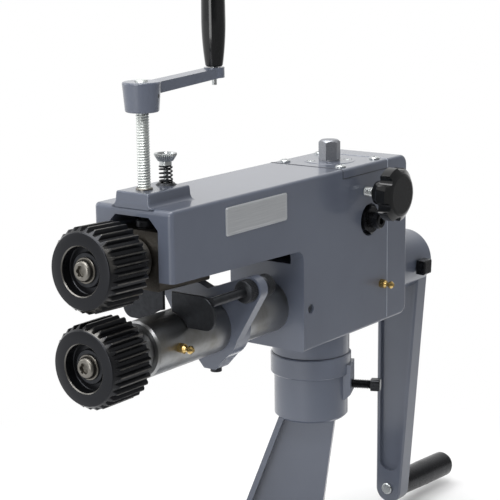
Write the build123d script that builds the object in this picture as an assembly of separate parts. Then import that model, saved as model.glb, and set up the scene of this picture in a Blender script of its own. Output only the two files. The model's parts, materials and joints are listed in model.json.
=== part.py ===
from build123d import *
import math
import os

# Sheet metal crimper: a hand cranked rotary machine on a swivel stand.
# Lengths are millimetres. Inside the machine X points to the operator's plate
# side, Y runs along the shafts from the rolls to the crank, Z points up, and
# the lower shaft's axis is X = 0, Z = 0.

# Fits between pieces
running = 0.05            # radial clearance of a shaft in its bush
seated = 0.02             # radial clearance of a piece fixed in its hole
loose = 0.3               # clearance between pieces that only pass each other
hole_play = 0.25          # radial clearance of a screw in a plain hole

# Housing
body_width = 75.0
body_top = 108.9
body_bottom = -35.0
body_depth = 294.0        # front face to the rear cover's seam
head_depth = 166.0        # front face to the throat's back wall
head_front_low = 55.3     # underside of the head at its front
head_throat_low = 50.8    # underside of the head at the throat
head_wall = 13.0
channel_top = 102.4
channel_chamfer = 8.5
channel_floor = 38.0      # floor of the cavity behind the throat
edge_round = 2.5
front_round = 4.0         # the two upright front edges
throat_round = 9.0
boss_width = 33.0
boss_depth = 50.0
boss_height = 10.8
boss_taper = 4.0
neck_radius = 33.5
neck_height = 18.0
post_radius = 22.0
post_length = 50.0
post_y = 230.0

# Shafts and bushes
shaft_radius = 11.0
bush_wall = 3.0
front_bush_length = 30.0
rear_bush_length = 30.0
roll_gap = 61.4           # shaft distance at the rolls when they are closed
circlip_thickness = 1.5
circlip_depth = 1.2

# Lower arm tube
tube_radius = 22.2
tube_front = 1.9
tube_seat = 50.0          # length held in the housing

# Swinging arm
pivot_setback = 28.5      # pivot to the rear cover's seam
pivot_z = 60.0
arm_rise = 2.05           # degrees above level, as the machine stands
block_width = 46.0
block_height = 44.0
block_front = 3.0
block_length = 62.0
barrel_radius = 19.0
arm_end_gap = 6.0         # arm's rear end to the rear cover's seam
trunnion_radius = 13.0
trunnion_side_gap = 0.8

# Rolls
roll_front = -57.1
roll_length = 39.0
flute_count = 32
flute_tip_radius = 31.8
flute_root_radius = 29.0
flute_tip_land = 0.30     # share of the pitch
flute_root_land = 0.24    # share of the pitch
roll_face_radius = 27.7
roll_cone_length = 5.5
roll_recess_radius = 18.0
roll_recess_depth = 9.0
roll_screw_head_radius = 10.2
roll_screw_head = 6.0
roll_key_width = 6.0
roll_key_height = 6.0
thrust_collar_radius = 17.0

# Gears
gear_teeth = 20
gear_addendum = 2.3
gear_dedendum = 4.8
gear_thinning = 0.95      # cut from each tooth's thickness for the arm's swing
gear_setback = 6.0        # seam to the gears' front
gear_width = 15.0
gear_pressure_angle = 20.0

# Top cover
cover_length = 70.5       # its front edge to the seam
cover_thickness = 8.0
cover_screw_edge = 9.0    # from the housing's side faces
cover_screw_front = 10.3  # from the cover's front edge
cover_screw_rear = 7.0    # from the seam
cover_screw_radius = 2.5
cover_screw_head_radius = 4.6
cover_screw_head = 2.2
cover_screw_length = 17.0

# Rear cover
rear_cover_depth = 33.0
rear_cover_wall = 5.0
gear_room = 0.7           # clearance between gear tips and the cover
rear_screw_radius = 3.0
rear_screw_head_radius = 5.0
rear_screw_head = 6.0
rear_screw_grip = 14.0
rear_screw_low_z = -29.0
rear_screw_high_z = 84.0
rear_round = 9.0

# Eccentric adjuster
adjuster_setback = 34.4   # adjuster to the seam
adjuster_flange_radius = 22.1
adjuster_flange = 2.4
adjuster_proud = 0.3      # flange above the cover
adjuster_sleeve_radius = 14.0
adjuster_sleeve_bottom = 92.5
adjuster_hex = 16.5
adjuster_hex_height = 17.6
adjuster_hex_turn = 45.0
adjuster_radius = 9.0
adjuster_bottom = 82.6
adjuster_throw = 1.5
adjuster_pin_radius = 3.0
adjuster_pin_bottom = 69.5
adjuster_screw_circle = 32.6
adjuster_screw_turn = 48.0
adjuster_screw_radius = 1.8
adjuster_screw_head_radius = 3.4
adjuster_screw_sink = 1.2
adjuster_play = 0.6       # clearance of the pin in the ring's slot
thrust_ring_width = 12.0
thrust_ring_travel = 1.1
thrust_neck_radius = 8.5

# Lock knob
knob_z = 85.5
stud_radius = 4.0
knob_radius = 22.9
knob_lobes = 6
knob_turn = 53.0          # degrees from level to the first notch
knob_notch_radius = 5.2
knob_notch_depth = 4.2
knob_gap = 22.7           # housing to the knob's lobes
knob_thickness = 13.5
knob_bevel = 5.0
knob_hub_radius = 10.0
knob_hub_gap = 11.7       # housing to the knob's hub

# Pivot screws
pivot_pin_radius = 5.0
pivot_pin_inner_x = 15.8
pivot_screw_radius = 7.0
pivot_screw_out = 12.0
pivot_recess_radius = 14.0
pivot_recess_depth = 5.0
pivot_nut_flats = 22.0
pivot_nut_thickness = 8.0
pivot_socket_flats = 6.0

# Pressure screw and its crank
screw_y = 15.0
screw_radius = 5.0
screw_pitch = 2.0
screw_bush_radius = 6.4
screw_bush_rim = 1.5
pad_radius = 7.0
pad_height = 6.0
pad_gap = 0.1
button_radius = 6.0
button_height = 4.6
button_proud = 0.6
hub_bottom = 177.0
hub_top = 199.2
hub_bottom_radius = 12.5
hub_top_radius = 14.4
hub_pin_radius = 1.5
hub_pin_drop = 10.3
hub_pin_turn = 16.0      # degrees from straight across
crank_reach = 85.8
crank_slope = 3.1
crank_bar_width = 13.0
crank_bar_height = 8.4
crank_eye_radius = 8.0
crank_eye_rise = 0.4
grip_length = 80.6
grip_end_radius = 6.8
grip_belly_radius = 9.3
grip_bolt_radius = 3.0
grip_bolt_head_radius = 5.2
grip_bolt_head = 3.0
grip_tail_radius = 1.9
grip_tail = 5.6

# Lift screw and spring
lift_y = 40.0
lift_screw_radius = 2.0
lift_hole_radius = 4.4    # room for the screw to lean with the arm
lift_screw_grip = 6.5     # length held in the arm
lift_head_radius = 8.6
lift_head_height = 5.6
lift_neck_radius = 5.0
lift_neck_height = 3.0
lift_washer_radius = 8.0
lift_washer_height = 1.6
spring_wire_radius = 0.65
spring_mean_radius = 4.7
spring_turns = 4.0
spring_wire_sides = 8
spring_height = 13.6

# Grease nipples
nipple_hex = 7.0
nipple_radius = 3.0
nipple_length = 13.0
frame_nipple_setback = 10.0  # from the seam
tube_nipple_y = 25.0

# Tube set screw
tube_screw_setback = 10.0 # from the throat's back wall
tube_screw_radius = 4.0
tube_screw_depth = 2.5

# Gauge
gauge_front = 88.0
gauge_width = 17.0
ear_width = 9.0
gauge_ring_radius = 29.0
gauge_bottom = -35.5
gauge_boss_half = 5.5
ear_x = 41.2
ear_z = 34.3
ear_radius = 10.5
rod_radius = 3.75
rod_front = 38.0
rod_rear = 117.0
nut_radius = 9.1
nut_width = 9.2
nut_neck_radius = 6.0
nut_neck = 3.6
paddle_thickness = 2.6
paddle_inner_x = 16.0
paddle_outer_x = 45.2
paddle_low_z = 12.0
paddle_high_z = 38.4
gauge_screw_radius = 3.5
gauge_screw_head_radius = 4.6
gauge_screw_head = 3.6

# Main crank
crank_hub_radius = 27.0
crank_hub_gap = 4.0       # rear cover to the hub
crank_hub_length = 44.0   # hub's front to the arm's front
crank_arm_depth = 16.0
crank_radius = 230.2
crank_lean = 2.5          # degrees from hanging straight down
crank_top_half = 22.5
crank_foot_half = 13.5
crank_rib = 4.0
crank_panel = 9.5
handle_radius = 12.4
handle_length = 93.0
handle_droop = 3.7        # degrees that the handle's axis hangs below level
handle_gap = 0.8
handle_bolt_radius = 5.0
handle_bolt_head_radius = 5.4
crank_screw_setback = 8.0 # ahead of the arm's front
crank_screw_radius = 5.0
crank_screw_flats = 13.0

# Stand
stand_turn = 24.0         # degrees the machine is swivelled on its stand
socket_rim_radius = 35.0
socket_radius = 32.0
socket_rim_height = 18.0
socket_height = 57.0
socket_gap = 0.5
bench_z = -255.0
foot_size = 180.0
foot_thickness = 12.0
foot_offset = 40.0
foot_round = 18.0
foot_circle = 198.0
foot_hole_radius = 5.5
leg_web = 9.0
leg_flange = 5.0
leg_flange_half = 17.0
leg_head_outer = 24.0
leg_head_inner = -22.5
leg_foot_outer = 76.0
leg_foot_inner = -4.0
base_rib_height = 27.0
base_rib_share = 0.68     # of the foot's width
clamp_boss_reach = 36.5
clamp_boss_half = 11.0
clamp_screw_drop = 28.5
clamp_screw_radius = 4.0
clamp_screw_out = 61.0
clamp_head_flats = 9.5
clamp_head_length = 8.5

# Sizes that follow from the ones above
half_width = body_width / 2
channel_half = half_width - head_wall
wall_middle = half_width - head_wall / 2
bush_radius = shaft_radius + bush_wall
neck_bottom = body_bottom - neck_height
rear_cover_back = body_depth + rear_cover_depth
pivot_y = body_depth - pivot_setback
arm_rear = body_depth - arm_end_gap
cover_front = body_depth - cover_length
adjuster_y = body_depth - adjuster_setback
gear_front = body_depth + gear_setback
frame_nipple_y = body_depth - frame_nipple_setback
tube_screw_y = head_depth + tube_screw_setback
crank_hub_front = rear_cover_back + crank_hub_gap
crank_arm_front = crank_hub_front + crank_hub_length
crank_arm_rear = crank_arm_front + crank_arm_depth
crank_screw_y = crank_arm_front - crank_screw_setback
flange_top = body_top + adjuster_proud
knob_inner_x = body_width / 2 + knob_gap
knob_hub_x = body_width / 2 + knob_hub_gap
cover_seat = body_top - cover_thickness
roll_back = roll_front + roll_length
shaft_front = roll_front + roll_recess_depth
roll_middle = roll_front + roll_length / 2
closed_rise = math.degrees(math.asin((roll_gap - pivot_z) / (pivot_y - roll_middle)))
gear_back = gear_front + gear_width
gear_middle = gear_front + gear_width / 2
gear_distance = pivot_z - (gear_middle - pivot_y) * math.sin(math.radians(closed_rise))
gear_pitch_radius = gear_distance / 2
gear_tip_radius = gear_pitch_radius + gear_addendum
gear_root_radius = gear_pitch_radius - gear_dedendum
gear_room_radius = gear_tip_radius + gear_room
block_top = pivot_z + block_height / 2
rise_slope = math.tan(math.radians(arm_rise))
rest_block_top = block_top / math.cos(math.radians(arm_rise)) \
    - pivot_z / math.cos(math.radians(arm_rise)) + pivot_z
boss_top = body_top + boss_height
socket_top = neck_bottom - socket_gap
ring_y = adjuster_y - (adjuster_pin_bottom + 2 - pivot_z) * rise_slope
foot_turn = 180 + stand_turn
foot_x = foot_offset * math.cos(math.radians(foot_turn))
foot_y = post_y + foot_offset * math.sin(math.radians(foot_turn))

# Every piece is moved so that the origin is the foot's centre on the bench
to_bench = Pos(-foot_x, -foot_y, -bench_z)
# The swinging arm and its shaft are made level and then raised about the pivot
raised = Pos(0, pivot_y, pivot_z) * Rot(-arm_rise, 0, 0) * Pos(0, -pivot_y, -pivot_z)
# The main crank hangs a little off straight down
leaning = Rot(0, crank_lean, 0)
# The handle and its bolt droop a little from the arm's rear face
drooping = leaning * Pos(0, crank_arm_rear, -crank_radius) * Rot(-handle_droop, 0, 0)
# The stand's own X points along its leaning leg, its origin is on the post
on_stand = Pos(0, post_y, 0) * Rot(0, 0, foot_turn)


def block(x0, x1, y0, y1, z0, z1):
    """A box between two corners."""
    middle = Pos((x0 + x1) / 2, (y0 + y1) / 2, (z0 + z1) / 2)
    return middle * Box(x1 - x0, y1 - y0, z1 - z0)


def rod_y(radius, y0, y1, x=0.0, z=0.0):
    """A cylinder along Y."""
    return Pos(x, (y0 + y1) / 2, z) * Rot(90, 0, 0) * Cylinder(radius, y1 - y0)


def rod_x(radius, x0, x1, y=0.0, z=0.0):
    """A cylinder along X."""
    return Pos((x0 + x1) / 2, y, z) * Rot(0, 90, 0) * Cylinder(radius, x1 - x0)


def rod_z(radius, z0, z1, x=0.0, y=0.0):
    """A cylinder along Z."""
    return Pos(x, y, (z0 + z1) / 2) * Cylinder(radius, z1 - z0)


def hexagon(flats):
    """A hexagon by its distance across flats."""
    return RegularPolygon(flats / 2, 6, major_radius=False)


def turned(points):
    """A solid of revolution about Z from (radius, height) points."""
    outline = make_face(Plane.XZ * Polyline(*points, close=True))
    return revolve(outline, Axis.Z)


def along_y(solid, y, x=0.0, z=0.0):
    """Lay a piece made along Z so that its Z runs along +Y from y."""
    return Pos(x, y, z) * Rot(-90, 0, 0) * solid


def along_x(solid, x, y, z):
    """Lay a piece made along Z so that its Z runs along +X from x."""
    return Pos(x, y, z) * Rot(0, 90, 0) * solid


def mirrored_x(solid):
    """The same piece on the other side of the machine."""
    return mirror(solid, Plane.YZ)


def group(solids):
    """Like pieces kept as separate solids of one node."""
    return Compound(children=list(solids))


# ---------------------------------------------------------------- housing

def side_outline():
    """The casting's side view in the YZ plane."""
    points = [
        (0, head_front_low), (head_depth, head_throat_low),
        (head_depth, body_bottom), (body_depth, body_bottom),
        (body_depth, cover_seat), (cover_front, cover_seat),
        (cover_front, body_top), (0, body_top),
    ]
    return Plane.YZ * make_face(Polyline(*points, close=True))


def channel_outline(low):
    """The arm's room across the machine, with its cut corners."""
    half = channel_half
    points = [
        (-half, low), (half, low), (half, channel_top - channel_chamfer),
        (half - channel_chamfer, channel_top), (channel_chamfer - half, channel_top),
        (-half, channel_top - channel_chamfer),
    ]
    return make_face(Plane.XZ * Polyline(*points, close=True))


def make_frame_casting():
    """The gloss painted C-shaped casting with its neck and post."""
    body = extrude(side_outline(), half_width, both=True)
    long_edges = body.edges().filter_by(Axis.Y)
    top_edges = long_edges.filter_by(lambda e: e.center().Z > cover_seat + 1)
    low_edges = long_edges.filter_by(lambda e: e.center().Z < body_bottom + 1)
    body = fillet(top_edges + low_edges, edge_round)
    fronts = body.edges().filter_by(Axis.Z).filter_by(lambda e: abs(e.center().Y) < 0.1)
    body = fillet(fronts, front_round)
    inner = body.edges().filter_by(Axis.X).filter_by(
        lambda e: abs(e.center().Y - head_depth) < 0.1 and e.center().Z > 0)
    body = fillet(inner, throat_round)

    boss_base = Pos(0, boss_depth / 2, body_top - 1) * Rectangle(boss_width, boss_depth)
    boss = extrude(boss_base, boss_height + 1, taper=boss_taper)
    boss = fillet(boss.edges().filter_by(lambda e: e.center().Z > body_top), 1.5)
    body += boss
    body += rod_z(neck_radius, neck_bottom, body_bottom + 1, y=post_y)
    body += rod_z(post_radius, neck_bottom - post_length, neck_bottom + 1, y=post_y)

    head_room = Pos(0, 0, 0) * channel_outline(0)
    body -= extrude(head_room, -head_depth)
    rear_room = Pos(0, head_depth - 1, 0) * channel_outline(channel_floor)
    body -= extrude(rear_room, -(body_depth - head_depth + 2))
    body -= rod_y(tube_radius + seated, head_depth - 1, head_depth + tube_seat)
    body -= rod_y(shaft_radius + 2, head_depth, body_depth + 1)
    body -= rod_y(bush_radius + seated, body_depth - rear_bush_length, body_depth + 1)

    body -= rod_z(screw_bush_radius, channel_top - 1, boss_top + 1, y=screw_y)
    body -= rod_z(pad_radius + 1.5, channel_top - 1, channel_top + 4.5, y=screw_y)
    body -= rod_z(lift_hole_radius, channel_top - 1, boss_top + 1, y=lift_y)

    body -= rod_x(pivot_screw_radius + hole_play, -half_width - 1, half_width + 1,
                  pivot_y, pivot_z)
    for side in (-1, 1):
        mouth = side * half_width
        floor = side * (half_width - pivot_recess_depth)
        body -= rod_x(pivot_recess_radius, min(mouth, floor), max(mouth, floor),
                      pivot_y, pivot_z)
    body -= rod_x(stud_radius + hole_play, channel_half - 1, half_width + 1,
                  adjuster_y, knob_z)
    body -= rod_x(tube_screw_radius, tube_radius - 1, half_width + 1, tube_screw_y, 0)
    body -= rod_x(nipple_radius, bush_radius, half_width + 1, frame_nipple_y, 0)
    for x, y in cover_screw_places():
        body -= rod_z(cover_screw_radius + hole_play, cover_seat - cover_screw_length + 7,
                      cover_seat + 1, x, y)
    for x, z in rear_screw_places():
        body -= rod_y(rear_screw_radius + hole_play, body_depth - rear_screw_grip - 1,
                      body_depth + 1, x, z)
    return body


def cover_screw_places():
    """The four screws of the top cover, as (x, y)."""
    rows = (cover_front + cover_screw_front, body_depth - cover_screw_rear)
    return [(side * (half_width - cover_screw_edge), y) for side in (-1, 1) for y in rows]


def rear_screw_places():
    """The four screws of the rear cover, as (x, z)."""
    heights = (rear_screw_low_z, rear_screw_high_z)
    return [(side * wall_middle, z) for side in (-1, 1) for z in heights]


def make_top_cover():
    """The plate over the arm's rear end."""
    plate = block(-half_width, half_width, cover_front + 0.2, body_depth, cover_seat, body_top)
    rims = plate.edges().filter_by(Axis.Y).filter_by(lambda e: e.center().Z > cover_seat + 1)
    plate = fillet(rims, edge_round)
    plate -= rod_z(adjuster_sleeve_radius + seated, cover_seat - 1, body_top + 1, y=adjuster_y)
    plate -= rod_z(adjuster_flange_radius + seated, flange_top - adjuster_flange, body_top + 1,
                   y=adjuster_y)
    for x, y in cover_screw_places():
        plate -= rod_z(cover_screw_radius + hole_play, cover_seat - 1, body_top + 1, x, y)
    for x, y in adjuster_screw_places():
        plate -= rod_z(adjuster_screw_radius + seated, cover_seat + 1, body_top + 1, x, y)
    return plate


def pan_screw(radius, head_radius, head, length):
    """A pan-head screw standing on Z = 0 with its shank below."""
    shank = rod_z(radius, -length, 0)
    cap = rod_z(head_radius, 0, head)
    return shank + chamfer(cap.edges().group_by(Axis.Z)[-1], head * 0.4, head * 0.6)


def make_top_cover_screws():
    """Four pan-head screws."""
    screw = pan_screw(cover_screw_radius, cover_screw_head_radius, cover_screw_head,
                      cover_screw_length - 2)
    return group(Pos(x, y, body_top) * screw for x, y in cover_screw_places())


def make_rear_cover():
    """The deep cover over the two gears."""
    cover = block(-half_width, half_width, body_depth, rear_cover_back, body_bottom, body_top)
    corners = cover.edges().filter_by(Axis.X).filter_by(
        lambda e: e.center().Y > rear_cover_back - 1)
    cover = fillet(corners, rear_round)
    rims = cover.edges().filter_by(lambda e: abs(abs(e.center().X) - half_width) < 0.1
                                   and e.center().Y > body_depth + 0.1)
    cover = fillet(rims, edge_round)
    gears = make_face(Plane.XZ * (
        Rectangle(2 * gear_room_radius, pivot_z).face().outer_wire()))
    room = Pos(0, body_depth - 1, pivot_z / 2) * gears
    depth = rear_cover_depth - rear_cover_wall + 1
    cavity = extrude(room, -depth)
    for z in (0, pivot_z):
        cavity += rod_y(gear_room_radius, body_depth - 1, body_depth - 1 + depth, z=z)
    cover -= cavity
    cover -= rod_y(shaft_radius + 0.6, body_depth, rear_cover_back + 1)
    for x, z in rear_screw_places():
        cover -= rod_y(rear_screw_radius + hole_play, body_depth - 1, rear_cover_back + 1, x, z)
        cover -= rod_y(rear_screw_head_radius + 0.5, rear_cover_back - rear_screw_head,
                       rear_cover_back + 1, x, z)
    return cover


def cap_screw(radius, head_radius, head, length, socket):
    """A socket-head screw standing on Z = 0 with its shank below."""
    screw = rod_z(radius, -length, 0) + rod_z(head_radius, 0, head)
    return screw - extrude(Pos(0, 0, head / 2) * hexagon(socket), head)


def make_rear_cover_screws():
    """Four socket-head screws in the rear cover's counterbores."""
    screw = cap_screw(rear_screw_radius, rear_screw_head_radius, rear_screw_head - 0.5,
                      rear_cover_depth - rear_screw_head + rear_screw_grip - 1, 5.0)
    return group(along_y(screw, rear_cover_back - rear_screw_head, x, z)
                 for x, z in rear_screw_places())


# ---------------------------------------------------------------- lower tube

def make_lower_tube():
    """The turned tube that carries the lower shaft's front bush."""
    rear = head_depth + tube_seat - 0.5
    tube = rod_y(tube_radius, tube_front, rear)
    ends = tube.edges().filter_by(GeomType.CIRCLE)
    tube = chamfer(ends, 1.6)
    tube -= rod_y(bush_radius + seated, tube_front - 1, rear + 1)
    tube -= rod_x(nipple_radius, 0, tube_radius + 1, tube_nipple_y, 0)
    tube -= rod_x(tube_screw_radius, tube_radius - tube_screw_depth / 2, tube_radius + 1,
                  tube_screw_y, 0)
    return tube


def make_tube_set_screw():
    """The socket set screw that holds the tube in the housing."""
    screw = rod_x(tube_screw_radius - seated, tube_radius - tube_screw_depth / 2 + 0.2,
                  half_width - 3, tube_screw_y, 0)
    socket = extrude(hexagon(4.0), 8)
    return screw - along_x(socket, half_width - 6, tube_screw_y, 0)


def make_bush(y0, y1):
    """A plain bronze bush about the lower axis."""
    bush = rod_y(bush_radius, y0, y1)
    return bush - rod_y(shaft_radius + running, y0 - 1, y1 + 1)


def grease_nipple(sink):
    """A grease nipple standing on Z = 0 with its stem below."""
    free = nipple_length
    points = [
        (0, -sink), (nipple_radius - seated, -sink), (nipple_radius - seated, 0.5),
        (nipple_radius, free * 0.35), (2.0, free * 0.5), (2.0, free * 0.62),
        (3.2, free * 0.72), (3.2, free * 0.84), (1.5, free), (0, free),
    ]
    return turned(points) + extrude(hexagon(nipple_hex), free * 0.35)


def make_frame_grease_nipple():
    """The nipple that feeds the rear bush."""
    return along_x(grease_nipple(half_width - bush_radius - 2), half_width, frame_nipple_y, 0)


def make_tube_grease_nipple():
    """The nipple that feeds the front bush."""
    return along_x(grease_nipple(tube_radius - bush_radius - 1), tube_radius, tube_nipple_y, 0)


# ---------------------------------------------------------------- swinging arm

def make_upper_arm():
    """The steel bearing arm: a square block in front, a round barrel behind."""
    low = pivot_z - block_height / 2
    arm = block(-block_width / 2, block_width / 2, block_front, block_length, low, block_top)
    arm = chamfer(arm.edges().filter_by(Axis.Y), 1.2)
    arm += rod_y(barrel_radius, block_length - 1, arm_rear, z=pivot_z)
    reach = channel_half - trunnion_side_gap
    arm += rod_x(trunnion_radius, -reach, reach, pivot_y, pivot_z)
    arm -= rod_y(shaft_radius + 1.5, block_front - 1, arm_rear + 1, z=pivot_z)
    arm -= rod_y(bush_radius + seated, block_front - 1, block_front + front_bush_length,
                 z=pivot_z)
    arm -= rod_y(bush_radius + seated, ring_room_front(), arm_rear + 1, z=pivot_z)
    for side in (-1, 1):
        inner = side * (pivot_pin_inner_x - 0.3)
        outer = side * (reach + 1)
        arm -= rod_x(pivot_pin_radius + running, min(inner, outer), max(inner, outer),
                     pivot_y, pivot_z)
    half_x = adjuster_throw + adjuster_pin_radius + 2.0
    half_y = adjuster_throw + adjuster_pin_radius + 1.0
    arm -= block(-half_x, half_x, adjuster_y - half_y, adjuster_y + half_y,
                 pivot_z, block_top + 5)
    arm -= rod_z(button_radius + seated, block_top - button_height + button_proud,
                 block_top + 1, y=screw_y)
    lift_hole_top = pivot_z + (pivot_y - lift_y) * rise_slope + block_height / 2
    lift_hole = rod_z(lift_screw_radius + seated, lift_hole_top - lift_screw_grip - 0.5,
                      lift_hole_top + 2, y=lift_y)
    return raised * arm - lift_hole


def ring_room_front():
    """Front end of the room that the thrust ring moves in."""
    return ring_y - thrust_ring_width / 2 - thrust_ring_travel - 1.5


def ring_room_rear():
    """Rear end of the room that the thrust ring moves in."""
    return ring_y + thrust_ring_width / 2 + thrust_ring_travel + 1.5


def make_arm_bush(y0, y1):
    """A bronze bush in the swinging arm."""
    return raised * Pos(0, 0, pivot_z) * make_bush(y0, y1)


def make_wear_button():
    """The hard button that the pressure screw bears on."""
    button = rod_z(button_radius, block_top - button_height + button_proud,
                   block_top + button_proud, y=screw_y)
    return raised * button


def make_thrust_ring():
    """The bronze ring that the eccentric pin shifts along the arm."""
    y0 = ring_y - thrust_ring_width / 2
    y1 = ring_y + thrust_ring_width / 2
    ring = rod_y(bush_radius - running, y0, y1, z=pivot_z)
    ring -= rod_y(thrust_neck_radius + running, y0 - 1, y1 + 1, z=pivot_z)
    slot_y = adjuster_pin_radius + adjuster_play
    slot_x = adjuster_throw + adjuster_pin_radius + 0.5
    ring -= block(-slot_x, slot_x, ring_y - slot_y, ring_y + slot_y,
                  pivot_z + thrust_neck_radius + 0.4, pivot_z + bush_radius + 1)
    return raised * ring


# ---------------------------------------------------------------- shafts, rolls, gears

def shaft_blank(rear):
    """The length that both shafts share, with its key seats and groove."""
    shaft = rod_y(shaft_radius, shaft_front, rear)
    shaft = chamfer(shaft.edges().filter_by(GeomType.CIRCLE), 1.0)
    for y0, y1 in (roll_key_span(), gear_key_span()):
        shaft -= key_box(y0, y1)
    groove = rod_y(shaft_radius + 1, gear_back + 0.1, gear_back + 0.1 + circlip_thickness)
    groove -= rod_y(shaft_radius - circlip_depth, gear_back, gear_back + 4)
    return shaft - groove


def roll_key_span():
    """Ends of the roll key along the shaft."""
    return (roll_front + roll_recess_depth + 3, roll_back - 3)


def gear_key_span():
    """Ends of the gear key along the shaft."""
    return (gear_front + 1, gear_back - 1)


def key_box(y0, y1):
    """A key, half in the shaft and half in the wheel."""
    half = roll_key_width / 2
    low = shaft_radius - roll_key_height / 2
    return block(-half, half, y0, y1, low, low + roll_key_height)


def make_keys(lift=0.0):
    """The roll key and the gear key of one shaft."""
    keys = [key_box(*roll_key_span()), key_box(*gear_key_span())]
    return group(Pos(0, 0, lift) * key for key in keys)


def key_slot(y0, y1):
    """The slot that a key needs in a wheel's bore."""
    half = roll_key_width / 2 + seated
    return block(-half, half, y0, y1, 0, shaft_radius + roll_key_height / 2 + 0.2)


def make_upper_shaft():
    """The upper shaft with the neck for the thrust ring."""
    shaft = shaft_blank(gear_back + circlip_thickness + 1.5)
    y0 = ring_y - thrust_ring_width / 2 - running
    y1 = ring_y + thrust_ring_width / 2 + running
    neck = rod_y(shaft_radius + 1, y0, y1) - rod_y(thrust_neck_radius, y0 - 1, y1 + 1)
    shaft -= neck
    shaft -= rod_y(roll_screw_radius(), shaft_front - 1, shaft_front + 16)
    return raised * Pos(0, 0, pivot_z) * shaft


def make_lower_shaft():
    """The lower shaft, which runs on through the rear cover to the crank."""
    shaft = shaft_blank(crank_arm_rear - 1)
    shaft -= rod_y(roll_screw_radius(), shaft_front - 1, shaft_front + 16)
    flat = block(shaft_radius - 1.0, shaft_radius + 1, crank_screw_y - 8, crank_screw_y + 8,
                 -shaft_radius, shaft_radius)
    return leaning * (shaft - flat)


def roll_screw_radius():
    """Radius of the screw in a shaft's front end."""
    return shaft_radius * 0.45


def flute_outline(turn):
    """The fluted roll's cross-section in the XY plane."""
    pitch = 360 / flute_count
    points = []
    for index in range(flute_count):
        middle = turn + index * pitch
        for radius, offset in (
            (flute_tip_radius, -flute_tip_land / 2), (flute_tip_radius, flute_tip_land / 2),
            (flute_root_radius, 0.5 - flute_root_land / 2),
            (flute_root_radius, 0.5 + flute_root_land / 2),
        ):
            angle = math.radians(middle + offset * pitch)
            points.append((radius * math.cos(angle), radius * math.sin(angle)))
    return make_face(Polyline(*points, close=True))


def make_roll(turn):
    """A fluted crimping roll about the lower axis."""
    roll = along_y(extrude(flute_outline(turn), roll_length), roll_front)
    tip = flute_tip_radius + 1
    limit = turned([
        (0, 0), (roll_face_radius, 0), (flute_tip_radius, roll_cone_length),
        (tip, roll_cone_length), (tip, roll_length - 1.5), (tip - 1.5, roll_length), (0, roll_length),
    ])
    roll &= along_y(limit, roll_front)
    roll -= rod_y(roll_recess_radius, roll_front - 1, shaft_front)
    roll -= rod_y(shaft_radius + seated, roll_front, roll_back + 1)
    roll -= key_slot(roll_front, roll_back + 1)
    return roll


def make_upper_roll():
    """The upper roll, half a flute out of step with the lower one."""
    return raised * Pos(0, 0, pivot_z) * make_roll(90)


def make_lower_roll():
    """The lower roll."""
    return leaning * make_roll(90 + 180 / flute_count - crank_lean)


def make_roll_screw():
    """The domed screw and washer-faced head that hold a roll."""
    head = rod_z(roll_screw_head_radius, 0, roll_screw_head)
    head = fillet(head.edges().group_by(Axis.Z)[-1], 2.4)
    screw = head + rod_z(roll_screw_radius() - seated, -15, 0.5)
    screw -= extrude(Pos(0, 0, roll_screw_head - 3.2) * hexagon(6.0), 5)
    return Pos(0, shaft_front - 2.6, 0) * Rot(90, 0, 0) * screw


def make_roll_washer():
    """The thick washer between the screw's head and the roll."""
    washer = rod_y(13.0, shaft_front - 2.5, shaft_front)
    washer = chamfer(washer.edges().group_by(Axis.Y)[0], 0.6)
    return washer - rod_y(roll_screw_radius() + hole_play, shaft_front - 4, shaft_front + 1)


def make_thrust_collar():
    """The collar between a roll and the bearing behind it."""
    collar = rod_y(thrust_collar_radius, roll_back + 0.05, tube_front - 0.2)
    collar = chamfer(collar.edges().filter_by(GeomType.CIRCLE), 0.8)
    return collar - rod_y(shaft_radius + seated, roll_back - 1, tube_front + 1)


def gear_tooth_points(turn):
    """One gear tooth's flank points, from root to tip and back."""
    pitch_half = math.pi / (2 * gear_teeth) - gear_thinning / (2 * gear_pitch_radius)
    pressure = math.radians(gear_pressure_angle)
    base = gear_pitch_radius * math.cos(pressure)
    involute = math.tan(pressure) - pressure
    flank = []
    for radius in (gear_root_radius, base, gear_pitch_radius, gear_tip_radius):
        swing = math.acos(min(1.0, base / radius)) if radius > base else 0.0
        half = pitch_half + involute - (math.tan(swing) - swing)
        flank.append((radius, half))
    left = [(r, turn - h) for r, h in flank]
    right = [(r, turn + h) for r, h in reversed(flank)]
    return [(r * math.cos(a), r * math.sin(a)) for r, a in left + right]


def make_gear(turn):
    """A coarse, long-toothed gear about the lower axis."""
    points = []
    for index in range(gear_teeth):
        points += gear_tooth_points(math.radians(turn + index * 360 / gear_teeth))
    blank = extrude(make_face(Polyline(*points, close=True)), gear_width)
    gear = along_y(blank, gear_front)
    for y in (gear_front - 1, gear_back - 3):
        dish = rod_y(gear_root_radius - 4, y, y + 4) - rod_y(shaft_radius + 5, y - 1, y + 5)
        gear -= dish
    gear -= rod_y(shaft_radius + seated, gear_front - 1, gear_back + 1)
    gear -= key_slot(gear_front - 1, gear_back + 1)
    return gear


def make_circlip():
    """The ring that holds a gear on its shaft."""
    y0 = gear_back + 0.2
    ring = rod_y(shaft_radius + 2.0, y0, y0 + circlip_thickness - 0.2)
    ring -= rod_y(shaft_radius - circlip_depth + 0.1, y0 - 1, y0 + circlip_thickness + 1)
    return ring - block(-3, 3, y0 - 1, y0 + circlip_thickness + 1, -shaft_radius - 3, 0)


def on_upper(solid):
    """Carry a piece from the lower axis to the raised upper shaft."""
    return raised * Pos(0, 0, pivot_z) * solid


# ---------------------------------------------------------------- pivot and adjuster

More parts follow.
